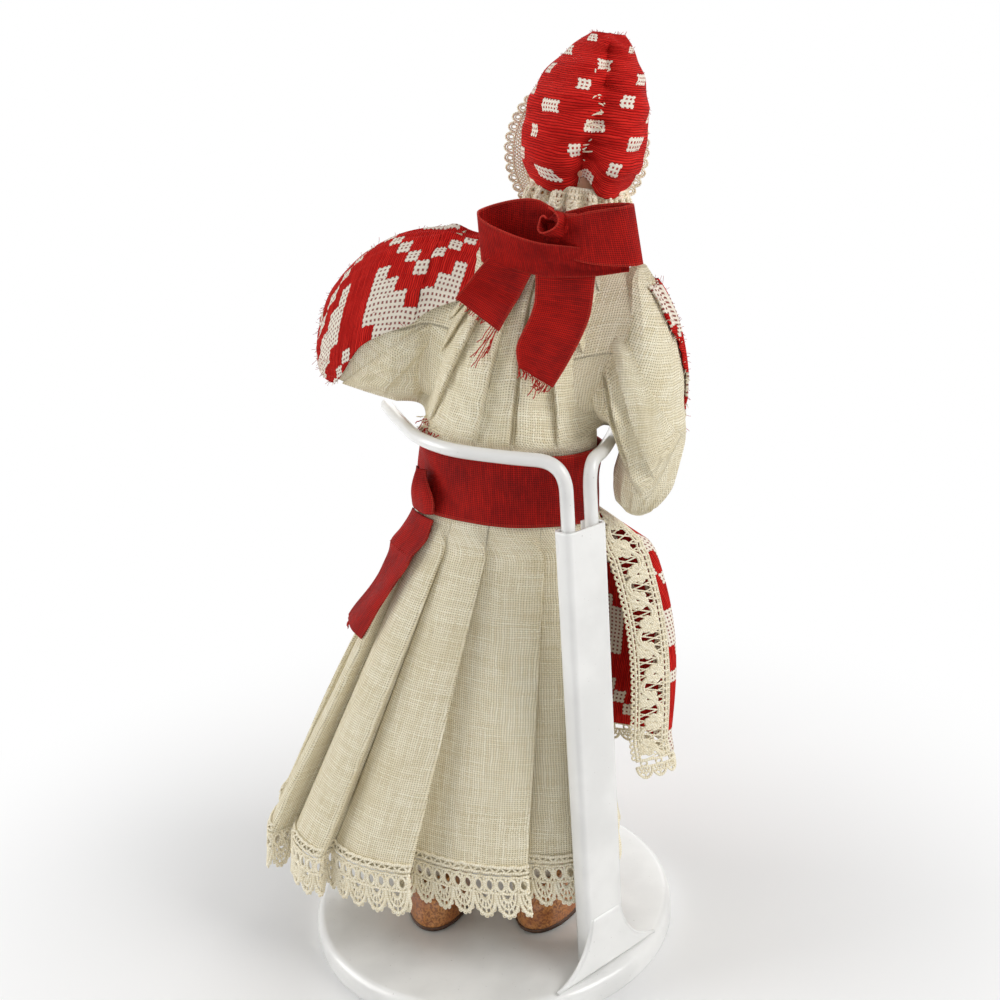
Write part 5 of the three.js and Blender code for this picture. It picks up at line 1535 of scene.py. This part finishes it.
def arm(side):
    """A stuffed arm with its gathered cuff and its mitten hand."""
    sign, elbow, wrist = ARMS[side]
    body = f"arm_{side}"

    def at(out, y, rise):
        return BUST(sign * (ARM_FACE + out), y, rise)

    shoulder, bend, end = at(2.5, -2.5, 43.5), at(*elbow), at(*wrist)
    line = along(through([shoulder, bend, end], 16), 40)
    rings = limb_rings(line, np.linspace(4.3, 3.3, 40))
    solid(f"stuffed_arm_{side}", rings, SKIN, "skin", body, [f"arm_{side}"])

    way = unit(end - bend)
    other = unit(np.cross(way, [0, 0, 1.0]))
    third = np.cross(other, way)
    aa, tt = np.meshgrid(ring_angles(120), np.linspace(-1, 1, 21))
    ruffle = 0.4 * np.cos(16 * aa) * np.abs(tt) ** 0.7
    radius = 4.75 + 0.9 * (1 - tt ** 2) + ruffle
    points = (end + (way * tt[..., None] * 2.9) + other * (radius * np.cos(aa))[..., None]
              + third * (radius * np.sin(aa))[..., None])
    cloth = np.stack([aa * 5, tt * 3], -1)
    piece = grid(f"cuff_{side}_gathers", points, cloth, CUFF_RED, "woven_red", body, [f"cuff_{side}"],
                 thick=0.7, closed=True)
    sheet_area(points, True)

    def palm(share):
        return end + way * (3.5 + share * 12)

    line, radius = rounded(palm(0.06), palm(0.86), [3.1, 3.7, 4.1, 3.7, 2.6])
    rings = limb_rings(line, radius, flat=0.62)
    thumb_way = way * 0.7 + other * (0.7 if side == "left" else -0.7)
    line, radius = rounded(palm(0.32), palm(0.32) + thumb_way * 5.2, [1.7, 1.7, 1.4])
    thumb = limb_rings(line, radius, flat=0.85)
    points = np.concatenate([rings.reshape(-1, 3), thumb.reshape(-1, 3)])
    first = rings.shape[0] * rings.shape[1]
    faces = capped(rings) + [[v + first for v in face] for face in capped(thumb)]
    data = turn_out(mesh_of(f"mitten_hand_{side}", points, faces))
    dress(data.name, data, SKIN, "skin", body, [f"hand_{side}"])


# Legs and shoes

def leg_and_shoe(side, x, y, turn, sign):
    place = Place((x, y, DOLL_FLOOR), turned(turn))
    key = [0, 0.03, 0.12, 0.45, 0.75, 1]
    angle = ring_angles(72)
    aa, zz = np.meshgrid(angle, np.linspace(0, 1, 34))
    a = stations(zz, key, [0.42, 0.46, 0.5, 0.48, 0.4, 0.33]) * SHOE_WIDTH
    b = stations(zz, key, [0.45, 0.48, 0.5, 0.47, 0.36, 0.21]) * SHOE_LENGTH
    shift = stations(zz, key, [0, 0, 0, 0.02, 0.1, 0.22]) * SHOE_LENGTH
    dent = np.where(np.sin(aa) < 0, -1.05 * np.abs(np.sin(aa)), 0)
    seam = -0.5 * np.exp(-((aa - math.pi / 2) / 0.07) ** 2) * smooth((zz - 0.1) / 0.1)
    wrinkle = 0.22 * np.sin(zz * 26 + 2 * np.sin(aa)) * smooth((zz - 0.4) / 0.2)
    wide, long = (size + dent + seam + wrinkle for size in (a, b))
    points = place(wide * np.cos(aa), shift + long * np.sin(aa), zz * SHOE_HEIGHT)
    solid(f"leather_shoe_{side}", points, LEATHER, "shoe", "doll", [f"shoe_{side}"])
    heel = np.where(np.sin(angle) < 0, 0.7, 0)
    wide, long = 0.51 * SHOE_WIDTH, 0.505 * SHOE_LENGTH
    sole = np.stack([place(wide * np.cos(angle), long * np.sin(angle) + heel, h) for h in (0.05, 0.7, 1.15)])
    sole[[0, 2]] = sole[[0, 2]] * 0.985 + sole[[0, 2]].mean(1, keepdims=True) * 0.015
    solid(f"shoe_sole_{side}", sole, SOLE, "shoe", "doll")
    ankle = place(0, 0.22 * SHOE_LENGTH, 13.3)
    hip = WAIST(sign * 8.3, 0, -24)
    knee = lerp(ankle, hip, 0.55)
    line = along(through([ankle, knee, hip], 12), 30)
    rings = limb_rings(line, np.interp(np.linspace(0, 1, 30), [0, 0.55, 1], [4.6, 7.2, 7.9]))
    cloth = np.stack(np.meshgrid(np.arange(24) * 1.6, np.arange(30) * 2.4), -1)
    leg = solid(f"stocking_leg_{side}", rings, STOCKING, "linen", "doll", [f"leg_{side}"], cloth)


# Head, hair and cap, in the head's own frame

HEAD_Z = [0.022, 0.1, 0.25, 0.46, 0.66, 0.85, 0.96, 1]
HEAD_A = [0.32, 0.66, 0.88, 1, 0.98, 0.76, 0.40, 0.12]
HEAD_B = [0.30, 0.66, 0.89, 1, 1, 0.80, 0.42, 0.12]


def head_point(z, angle, lift):
    share = z / HEAD_HEIGHT
    a = stations(share, HEAD_Z, HEAD_A) * HEAD_WIDTH / 2 + lift
    b = stations(share, HEAD_Z, HEAD_B) * HEAD_DEPTH / 2 + lift
    return HEAD(-3 + a * np.cos(angle), -3 + b * np.sin(angle), z)


def face_bumps(z, angle):
    """A small nose and soft cheeks on the front of the head."""
    off = off_from(angle, -math.pi / 2)
    nose = 0.9 * np.exp(-(off / 0.14) ** 2 - ((z - 12.2) / 1.4) ** 2)
    cheeks = 0.35 * np.exp(-((np.abs(off) - 0.5) / 0.22) ** 2 - ((z - 9.5) / 2.2) ** 2)
    sockets = -0.3 * np.exp(-((np.abs(off) - 0.36) / 0.16) ** 2 - ((z - 15) / 1.4) ** 2)
    return nose + cheeks + sockets


def face_patch(name, centre_off, centre_z, wide, tall, lift, material, arch=0.0):
    """An oval of paint that lies on the face."""
    r = np.linspace(0.02, 1, 7)
    a = ring_angles(28)
    aa, rr = np.meshgrid(a, r)
    x = rr * np.cos(aa) * wide / 2
    z = rr * np.sin(aa) * tall / 2
    z = z + arch * (1 - (2 * x / wide) ** 2)
    angle = -math.pi / 2 + centre_off + x / (HEAD_DEPTH / 2)
    height = centre_z + z
    points = head_point(height, angle, face_bumps(height, angle) + lift * (1 - 0.6 * rr ** 4))
    faces = quads(len(r), len(a), True)
    faces.append(list(range(len(a))))
    dress(name, mesh_of(name, points, faces), material, "skin", "head")


def head():
    z = np.linspace(0.65, 27.99, 70)
    angle = ring_angles(112)
    aa, zz = np.meshgrid(angle, z)
    points = head_point(zz, aa, face_bumps(zz, aa))
    solid("stuffed_head", points, SKIN, "skin", "head", ["head"])
    for name, sign in (("right", -1), ("left", 1)):
        face_patch(f"eye_white_{name}", sign * 0.37, 14.6, 2.7, 1.9, 0.10, PAINT_WHITE)
        face_patch(f"eye_iris_{name}", sign * 0.37, 14.5, 1.6, 1.75, 0.18, PAINT_BLUE)
        face_patch(f"eye_pupil_{name}", sign * 0.37, 14.5, 0.8, 0.9, 0.26, PAINT_DARK)
        face_patch(f"eye_lid_{name}", sign * 0.37, 15.45, 2.9, 0.45, 0.24, PAINT_DARK, arch=0.3)
        face_patch(f"brow_{name}", sign * 0.38, 17.1, 3.2, 0.42, 0.12, PAINT_BROWN, arch=0.45)
        face_patch(f"cheek_{name}", sign * 0.56, 9.6, 3.4, 2.8, 0.06, PAINT_BLUSH)
    face_patch("lip_upper", 0, 7.7, 3.0, 0.75, 0.12, PAINT_LIP, arch=-0.25)
    face_patch("lip_lower", 0, 7.1, 2.4, 0.8, 0.14, PAINT_LIP, arch=-0.35)


def hair():
    """Flaxen strands combed down from the crown, leaving the face free and hidden by the cap behind."""
    groups = []
    count = 220
    start = np.linspace(0, TAU, count, endpoint=False) + rng.normal(0, 0.012, count)
    off = np.abs(off_from(start, -math.pi / 2))
    start, off = start[off < 1.75], off[off < 1.75]
    count = len(start)
    low = np.where(off < 0.75, 21.5 - 2.2 * np.abs(np.sin(off * 4)), np.where(off < 1.5, 3.4, 10.0))
    t = np.linspace(0, 1, 18)
    for layer, lift in ((0, 0.75), (1, 1.25)):
        z = 27.6 + (low[:, None] - 27.6) * t ** 0.9 + rng.normal(0, 0.25, (count, 1)) * t
        angle = start[:, None] + 0.05 * np.sin(5 * t + start[:, None] * 7) + layer * 0.014
        wave = 0.1 * np.sin(9 * t + start[:, None] * 11)
        groups.append((head_point(np.clip(z, 3.0, 27.9), angle, lift + wave), 0.3))
    tubes("flax_hair", groups, 5, FLAX, "hair", "head", ["hair"])


CAP_Z = [6, 10, 12.88, 18.48, 23.8, 28, 34.78, 39.3]
CAP_SHARE = [0.2, 0.32, 0.46, 0.66, 0.85, 0.94, 0.98, 1]
CAP_SWELL = [0.2, 1, 1.1, 1.2, 2.2, 3.2, 2, 0.2]
CAP_X = [0, 0, 0, 0, 0, -0.4, -1.6, -2.6]
CAP_Y = [0, 0, 0, 0, 0, -0.5, -1.5, -2.5]
CAP_LINING = 2.0


def cap_point(z, angle):
    share_a = np.interp(CAP_SHARE, HEAD_Z, HEAD_A)
    share_b = np.interp(CAP_SHARE, HEAD_Z, HEAD_B)
    grow = CAP_LINING + np.array(CAP_SWELL) * 1.7
    a = stations(z, CAP_Z, share_a * HEAD_WIDTH / 2 + grow)
    b = stations(z, CAP_Z, share_b * HEAD_DEPTH / 2 + grow)
    x = stations(z, CAP_Z, CAP_X)
    y = stations(z, CAP_Z, CAP_Y)
    off = off_from(angle, math.pi / 2) + 0.12 * np.sin(z / 6)
    depth = smooth((39.5 - z) / 8) * (0.8 + 0.2 * np.cos((z - 12) / 4))
    crease = -3.4 * np.exp(-(off / 0.2) ** 2) * depth
    lobes = 1.5 * np.exp(-((np.abs(off) - 0.55) / 0.34) ** 2) * smooth((37 - z) / 10)
    band = 0.45 * np.cos(z * 1.0 + 0.8 * np.sin(3 * off)) * np.exp(-(off / 1.2) ** 2)
    ruck = 0.5 * np.sin(z * 1.7 + 5 * np.abs(off)) * np.exp(-(off / 0.4) ** 2)
    ruck = ruck + 0.18 * np.sin(z * 0.9 + 4 * angle)
    out = crease + lobes + band + ruck - 0.35
    return HEAD(-3 + x + (a + out) * np.cos(angle), -3 + y + (b + out) * np.sin(angle), z)


def cap():
    """The cap's cloth from the face edge round the back, closed at its soft point, its hem in two lobes."""
    level = np.concatenate([np.linspace(6, 36, 76), 39.2 - 3.2 * np.linspace(1, 0, 16)[1:] ** 1.6])
    rows = []
    share = np.linspace(0, 1, 201)
    middle = len(share) // 2
    probe = np.linspace(-math.pi / 2, math.pi / 2, 181)
    for height in level:
        local = (cap_point(np.full(len(probe), height), probe) - HEAD.origin) @ HEAD.axes
        behind = local[:, 1] > -10.9
        first = probe[np.argmax(behind)]
        rows.append(lerp(first, math.pi - first, share))
    angle = np.array(rows)
    off = off_from(angle, math.pi / 2)
    dip = 3.2 * np.exp(-(off / 0.2) ** 2) - 0.9 * np.exp(-((np.abs(off) - 0.5) / 0.3) ** 2)
    zz = np.maximum(level[:, None] + dip * smooth((20 - level[:, None]) / 14), 5.2)
    points = cap_point(zz, angle)
    run = run_across(points)
    down = run_along(points[:, middle // 2])
    cloth = cloth_of(run - run[:, middle:middle + 1], down)
    piece = grid("cap_cloth", points, cloth, CAP_RED, "woven_red", "head", ["cap"], thick=0.9)
    sheet_area(points)
    count = 1300
    roots = points[rng.integers(0, len(level), count), rng.integers(0, len(share), count)]
    fuzz("cap_fuzz", roots, roots - points.reshape(-1, 3).mean(0), "head", 0.6)
    count = 26
    place = rng.integers(8, len(level) - 22, count)
    start = points[place, middle + rng.integers(-7, 8, count)]
    row = np.clip(place + rng.integers(-2, 3, count), 0, len(level) - 1)
    end = points[row, middle + rng.integers(-9, 10, count)]
    t = np.linspace(0, 1, 7)[None, :, None]
    up = unit(start - HEAD(-3, -3, 16))
    lines = start[:, None] * (1 - t) + end[:, None] * t + up[:, None] * (0.3 + 0.4 * np.sin(math.pi * t))
    tubes("cap_crease_threads", [(lines, 0.16)], 4, LACE_THREAD, "lace", "head")


def cap_lace():
    """Net lace in an arch round the face edge: a diamond net with a scalloped rim."""
    def surface(t, r):
        angle = np.radians(lerp(-48, 228, t))
        a, c = lerp(10.3, 17.2, r), lerp(14.6, 17.35, r)
        wave = 0.35 * np.sin(t * 60) * r
        return HEAD(-3 + a * np.cos(angle), -11.7 - 1.5 * r + wave, 12.88 + c * np.sin(angle))

    lace = Lace(surface)
    for r, radius in ((0.02, 0.36), (0.3, 0.26), (0.7, 0.3)):
        lace.lay(np.linspace(0, 1, 300), r, radius)
    units = 34
    start = np.arange(units)[:, None] / units
    web = np.linspace(0, 1, 7)
    for third in range(3):
        first = start + third / units / 3
        lace.lay(first + web * 1.5 / units, 0.02 + 0.68 * web, 0.2)
        lace.lay(first + (1 - web) * 1.5 / units, 0.02 + 0.68 * web, 0.2)
    lace.scallop(start, 1 / units, 0.7, 0.5, 0.3, 0.3, 11)
    a = np.linspace(0, TAU, 11)
    lace.lay(start + (0.5 + 0.22 * np.cos(a)) / units, 0.82 + 0.09 * np.sin(a), 0.2)
    tubes("cap_lace_net", lace.groups, 5, LACE_THREAD, "lace", "head", ["cap_lace"])


def nape_lace():
    """Gathered crocheted lace below the cap at the back."""
    heading = 2.6
    a0 = float(np.interp(0.2, HEAD_Z, HEAD_A)) * HEAD_WIDTH / 2
    b0 = float(np.interp(0.2, HEAD_Z, HEAD_B)) * HEAD_DEPTH / 2

    def surface(t, d):
        angle = np.radians(lerp(8, 172, t))
        push = 2.9 + 1.25 * np.cos(18 * angle) * smooth((d + 0.6) / 3) + 0.24 * d
        return HEAD(-3 + (a0 + push) * np.cos(angle), -3 + (b0 + push) * np.sin(angle), 6.4 - d)

    lace = Lace(surface)
    for d, radius in ((0.0, 0.5), (1.2, 0.4), (heading, 0.4)):
        lace.lay(np.linspace(0, 1, 260), d, radius)
    units = 22
    start = np.arange(units)[:, None] / units
    web = np.linspace(0, 1, 5)
    lace.lay(start, heading * web, 0.4)
    lace.lay(start + 0.5 / units, heading * web, 0.36)
    lace.scallop(start, 1 / units, heading, 0.5, 2.0, 0.5, 11)
    lace.scallop(start, 1 / units, heading, 0.25, 1.0, 0.36, 11)
    tubes("nape_lace_gathers", lace.groups, 6, LACE_THREAD, "lace", "head", ["nape_lace"])


# Neck ribbon and bow

def neck_ribbon():
    t = np.arange(96) / 96
    rows = np.linspace(0, 1, 11)
    tt, rr = np.meshgrid(t, rows)
    angle = tt * TAU
    z = lerp(57.4, 63.6, rr)
    crease = 0.2 * np.cos(5 * angle + 4 * rr)
    points = BUST(-1 + (8.6 + crease) * np.cos(angle), -1.25 + (12.6 + crease) * np.sin(angle), z)
    cloth = np.stack([angle * 10, rr * 6.3, selvedge_share(rr)], -1)
    piece = grid("neck_ribbon_band", points, cloth, RIBBON_RED, "ribbon", "doll", ["neck_ribbon"],
                 thick=0.45, closed=True)
    sheet_area(points, True)
    neck_ribbon_ends()


def neck_ribbon_ends():
    """The band's two ends, drawn back from the neck into the bow's knot."""
    t = np.linspace(0, 1, 24)[:, None]
    across = np.linspace(-1, 1, 15)[None]
    ends = []
    for name, start, end in (("left", (-2.0, 11.5), (-5.4, 14.6)), ("right", (-8.9, 4.6), (-7.4, 14.4))):
        x = lerp(start[0], end[0], t) + 0.3 * np.sin(math.pi * t) * across ** 2
        y = lerp(start[1], end[1], t) + 0.2 * np.cos(across * 6 + 4 * t)
        z = lerp(60.5, 62.6, t) + across * lerp(3.0, 1.9, smooth(t))
        points = BUST(x, y, z)
        run = run_along(points[:, 7])
        cloth = ribbon_cloth(run, across, 6.2)
        ends.append(grid(f"neck_ribbon_end_{name}", points, cloth, RIBBON_RED, "ribbon", "doll",
                         thick=RIBBON_THICK))
    return ends


def bow_loop(side, keys, table, lean_x=0.0):
    """A loop along a line of the bow's frame: table rows are x, depth, height, half width and tilt."""
    t = np.linspace(0, 1, 110)
    x, y, z, half, tilt = (stations(t, keys, row)[:, None] for row in table)
    across = np.linspace(-1, 1, 27)[None]
    w = across * half
    a = np.radians(tilt)
    ripple = 0.2 * np.cos(across * 8 + 9 * t[:, None]) * smooth((6.3 - half) / 2.5)
    x = x + lean_x * w * smooth(np.abs(x) / 15)
    points = BOW(x, BOW_Y + y + w * np.sin(a) + ripple, z + w * np.cos(a))
    run = run_along(points[:, 13])
    cloth = ribbon_cloth(run, across, BOW_RIBBON)
    piece = grid(f"bow_loop_{side}_ribbon", points, cloth, RIBBON_RED, "ribbon", "doll",
                 [f"bow_loop_{side}"], thick=RIBBON_THICK)
    sheet_area(points)


def bow_loops():
    """The left loop lies open to the doll's back, and its outer strip runs on under the knot."""
    bow_loop("left", [0, 0.13, 0.3, 0.39, 0.43, 0.47, 0.56, 0.68, 0.78, 0.88, 1],
             [[0.5, 5, 12, 15.5, 16.6, 15.8, 12, 6, 0, -8, -17],
              [-0.5, -1.5, -2, -1.5, 0.5, 2.4, 3.4, 3.9, 4.1, 2.6, 1.2],
              [3.2, 3.0, 1.4, 0.3, -0.2, -0.8, -1.8, -3.2, -4.0, -4.0, -2.9],
              [3.5, 5.4, 6.1, 6.1, 6.0, 5.8, 5.4, 5.0, 4.2, 3.2, 2.6],
              [0, 8, 14, 18, 22, 26, 34, 36, 26, 12, 6]])
    bow_loop("right", [0, 0.2, 0.38, 0.46, 0.5, 0.54, 0.62, 0.8, 1],
             [[-1, -9, -15.5, -17.6, -18.2, -17.6, -15.5, -9, -2],
              [2.2, 3.9, 3.1, 1.6, 0, -1.2, -2.4, -2.6, -1.2],
              [0.9, 1.4, 2.0, 2.3, 2.4, 2.4, 2.4, 2.2, 2.0],
              [3.6, 5.6, 6.2, 6.3, 6.3, 6.3, 6.2, 5.6, 4.0],
              [0, 4, 4, 4, 4, 4, 4, 2, 0]], 0.22)


def bow_knot():
    """The knot's wrap, drawn together, with the ribbon's curled edge standing out of it."""
    t = np.linspace(-1, 1, 31)
    angle = ring_angles(96)
    aa, tt = np.meshgrid(angle, t)
    crease = 0.3 * np.cos(9 * aa + 2.5 * tt) + 0.25 * np.cos(4 * aa - 3 * tt)
    wide = (3.5 + crease) * (1 - 0.35 * np.abs(tt) ** 3)
    deep = (3.1 + crease) * (1 - 0.35 * np.abs(tt) ** 3)
    points = BOW(-1.6 - tt * 0.8 + wide * np.cos(aa), BOW_Y + deep * np.sin(aa), 2.2 + tt * 3.6)
    cloth = np.stack([tt * 5, aa * 4, np.abs(tt)], -1)
    wrap = solid("bow_knot_wrap", points, RIBBON_RED, "ribbon", "doll", ["bow_knot"], cloth)
    turn = np.linspace(0.1 * TAU, 1.15 * TAU, 70)
    across = np.linspace(-1, 1, 15)
    ww, kk = np.meshgrid(across, turn)
    radius = 0.8 + 0.36 * kk + 0.25 * np.cos(3 * kk + 2 * ww)
    line = np.array([0.34, 0.86, 0.38])
    side = np.array([-0.745, 0.0, 0.667])
    face = np.cross(line, side)
    at = np.array([0.4, BOW_Y + 3.2, 3.4]) + line * (ww * (2.5 - 0.08 * kk) - 0.05 * kk)[..., None]
    at = at + (radius * np.cos(kk))[..., None] * side + (radius * np.sin(kk))[..., None] * face
    points = BOW(at[..., 0], at[..., 1], at[..., 2])
    run = run_along(points[:, 7])
    cloth = ribbon_cloth(run, across[None], 6.8)
    piece = grid("bow_knot_curl", points, cloth, RIBBON_RED, "ribbon", "doll", thick=0.4)
    sheet_area(points)


def blouse_back(rise):
    full = smooth((rise - BEND_START) / 6) * smooth((57 - rise) / 26)
    return np.interp(rise, TORSO_Z, TORSO_B) + 1.3 + full * 3.4 + 0.6


def bow_tail(side, left_edge, right_edge, layer, frayed):
    """A ribbon tail over the blouse's back between two edge lines, its threads drawn out at the end."""
    rows, last = 44, 22
    left = along(through(left_edge, 12), rows)
    right = along(through(right_edge, 12), rows)
    ac, sh = np.meshgrid(np.linspace(0, 1, last + 1), np.linspace(0, 1, rows))
    flat = lerp(left[:, None], right[:, None], ac[..., None])
    x, z = flat[..., 0], flat[..., 1]
    rise = BOW_RISE + z * math.cos(BOW_TURN) - x * math.sin(BOW_TURN)
    back = blouse_back(np.clip(rise, BEND_START + CLEARANCE, 57))
    ripple = 0.45 * np.sin(ac * 5 + sh * 5) * sh + 0.9 * selvedge_share(ac) ** 3 * sh
    y = np.maximum(BOW_Y, back + 0.6) + layer + 0.8 + ripple
    points = BOW(x, y, z)
    down = run_along(points[:, last // 2])
    cloth = ribbon_cloth(down, 2 * ac - 1, BOW_RIBBON)
    piece = grid(f"bow_tail_{side}_ribbon", points, cloth, RIBBON_RED, "ribbon", "doll",
                 [f"bow_tail_{side}"], thick=RIBBON_THICK)
    width = widest(points)
    sheet_area(points)
    groups = []
    t = np.linspace(0, 1, 8)[None, :, None]
    way = unit(points[-1] - points[-4])
    for count, low, high, reach in frayed:
        pick = np.clip(rng.uniform(low, high, count) * last, 0, last).astype(int)
        length = reach * rng.uniform(0.5, 1.0, (count, 1, 1))
        wild = np.cumsum(rng.normal(0, 0.16, (count, 8, 3)), 1) * (reach / 3) ** 0.5 * t
        groups.append((points[-1][pick][:, None] + way[pick][:, None] * t * length + wild, 0.11))
    tubes(f"bow_tail_{side}_threads", groups, 4, RIBBON_THREAD, "ribbon", "doll")


# Floor, light and camera

def seen_rays(tree):
    """1 for rays that show the background itself, 0 for those that only light the doll."""
    path = tree.nodes.new("ShaderNodeLightPath")
    names = ("Is Camera Ray", "Is Glossy Ray", "Is Transmission Ray")
    camera_ray, glossy, through_ray = (Number(tree, path.outputs[name]) for name in names)
    return camera_ray.top(glossy).top(through_ray)


def blend_in(tree, share, first, second, output):
    mix = tree.nodes.new("ShaderNodeMixShader")
    tree.links.new(share.socket, mix.inputs[0])
    tree.links.new(first, mix.inputs[1])
    tree.links.new(second, mix.inputs[2])
    tree.links.new(mix.outputs[0], output.inputs["Surface"])


def floor_and_world():
    size = 2.5
    rows = np.linspace(-size, size, 9)
    xx, yy = np.meshgrid(rows / MM, rows / MM)
    data = mesh_of("floor", np.stack([xx, yy, np.zeros_like(xx) - 0.02], -1), quads(9, 9))
    floor = bpy.data.objects.new("floor", data)
    bpy.context.collection.objects.link(floor)
    f = Finish("floor_white", Roughness=0.8)
    f.shader.inputs["Base Color"].default_value = (0.86, 0.86, 0.86, 1)
    data.materials.append(f.material)
    x, y, _ = f.place()
    far = (x * x + y * y).op("SQRT").between(60.0, 210.0)
    glow = f.tree.nodes.new("ShaderNodeEmission")
    blend_in(f.tree, far * seen_rays(f.tree), f.shader.outputs[0], glow.outputs[0],
             f.tree.nodes["Material Output"])

    world = bpy.data.worlds.new("studio")
    bpy.context.scene.world = world
    world.use_nodes = True
    tree = world.node_tree
    light = tree.nodes["Background"]
    light.inputs["Color"].default_value = (0.98, 0.985, 1.0, 1)
    light.inputs["Strength"].default_value = 0.34
    white = tree.nodes.new("ShaderNodeBackground")
    white.inputs["Color"].default_value = (1, 1, 1, 1)
    blend_in(tree, seen_rays(tree), light.outputs[0], white.outputs[0], tree.nodes["World Output"])


def lamp(name, at, target, size, power, colour=(1, 1, 1)):
    data = bpy.data.lights.new(name, "AREA")
    data.size = size
    data.energy = power
    data.color = colour
    obj = bpy.data.objects.new(name, data)
    bpy.context.collection.objects.link(obj)
    way = Vector(target) - Vector(at)
    obj.location = at
    obj.rotation_euler = way.to_track_quat("-Z", "Y").to_euler()


def camera():
    """The photograph's place, direction and roll, in metres."""
    at = np.array([-92.92, 285.98, 214.6]) * MM
    forward = np.array([0.26633, -0.91528, -0.30220])
    level = np.cross(forward, [0, 0, 1])
    level /= np.linalg.norm(level)
    up = np.cross(level, forward)
    roll = -0.069
    right = level * math.cos(roll) + up * math.sin(roll)
    up = -level * math.sin(roll) + up * math.cos(roll)
    data = bpy.data.cameras.new("camera")
    data.sensor_width = 36
    data.lens = 45.07
    data.clip_start = 0.01
    data.clip_end = 20
    obj = bpy.data.objects.new("camera", data)
    bpy.context.collection.objects.link(obj)
    obj.matrix_world = Matrix([[right[i], up[i], -forward[i], at[i]] for i in range(3)] + [[0, 0, 0, 1]])
    bpy.context.scene.camera = obj


stand_base()
stand_post()
clip_wire()
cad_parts["base_pad"].data.materials.clear()
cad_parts["base_pad"].data.materials.append(BOARD)
skirt()
hem_lace()
torso()
blouse()
sash()
sash_knot()
sash_tail()
apron()
sleeve("left", left_sleeve_point, left_folds, LEFT_SEAM, 180, 0.2, 0.9)
sleeve("right", right_sleeve_point, right_folds, RIGHT_SEAM, 270, 0.1, 0.66)
gusset("left", 1)
gusset("right", -1)
left_yoke()
back_drape("left", 1, 0, 0.5)
back_drape("right", -1, 0.5, 1)
underarm_frays()
arm("left")
arm("right")
leg_and_shoe("left", 13.4, 4.9, 8, 1)
leg_and_shoe("right", -17.3, 0.9, -8, -1)
head()
hair()
cap()
cap_lace()
nape_lace()
neck_ribbon()
bow_loops()
bow_knot()
bow_tail("left", [(13.2, -3.2), (17.5, -8.6), (21.3, -14)], [(3.2, -4.6), (6.6, -12), (10.6, -20.3)], 0.0,
         [(16, 0.1, 1, 1.2), (9, 0.85, 1, 9)])
bow_tail("right", [(3.4, -5), (3.5, -15.2), (6.1, -23.3), (5.2, -27.6)],
         [(-10, -5), (-9, -16.9), (-5.9, -25.2), (-2.8, -31.2)], 0.9, [(26, 0, 1, 2.2), (8, 0.5, 0.9, 4)])
floor_and_world()
lamp("key", (-0.9, 0.15, 0.75), (-0.01, 0, 0.11), 0.6, 6.7, (1.0, 0.985, 0.96))
lamp("side", (0.85, 0.22, 0.45), (0, 0, 0.1), 0.6, 4.6, (1.0, 0.99, 0.97))
lamp("back", (-0.25, 0.95, 0.5), (0, 0, 0.11), 0.9, 1.2)
lamp("front", (0.1, -0.9, 0.6), (0, 0, 0.11), 0.9, 3.7)
camera()
bpy.context.scene.view_settings.view_transform = "Standard"
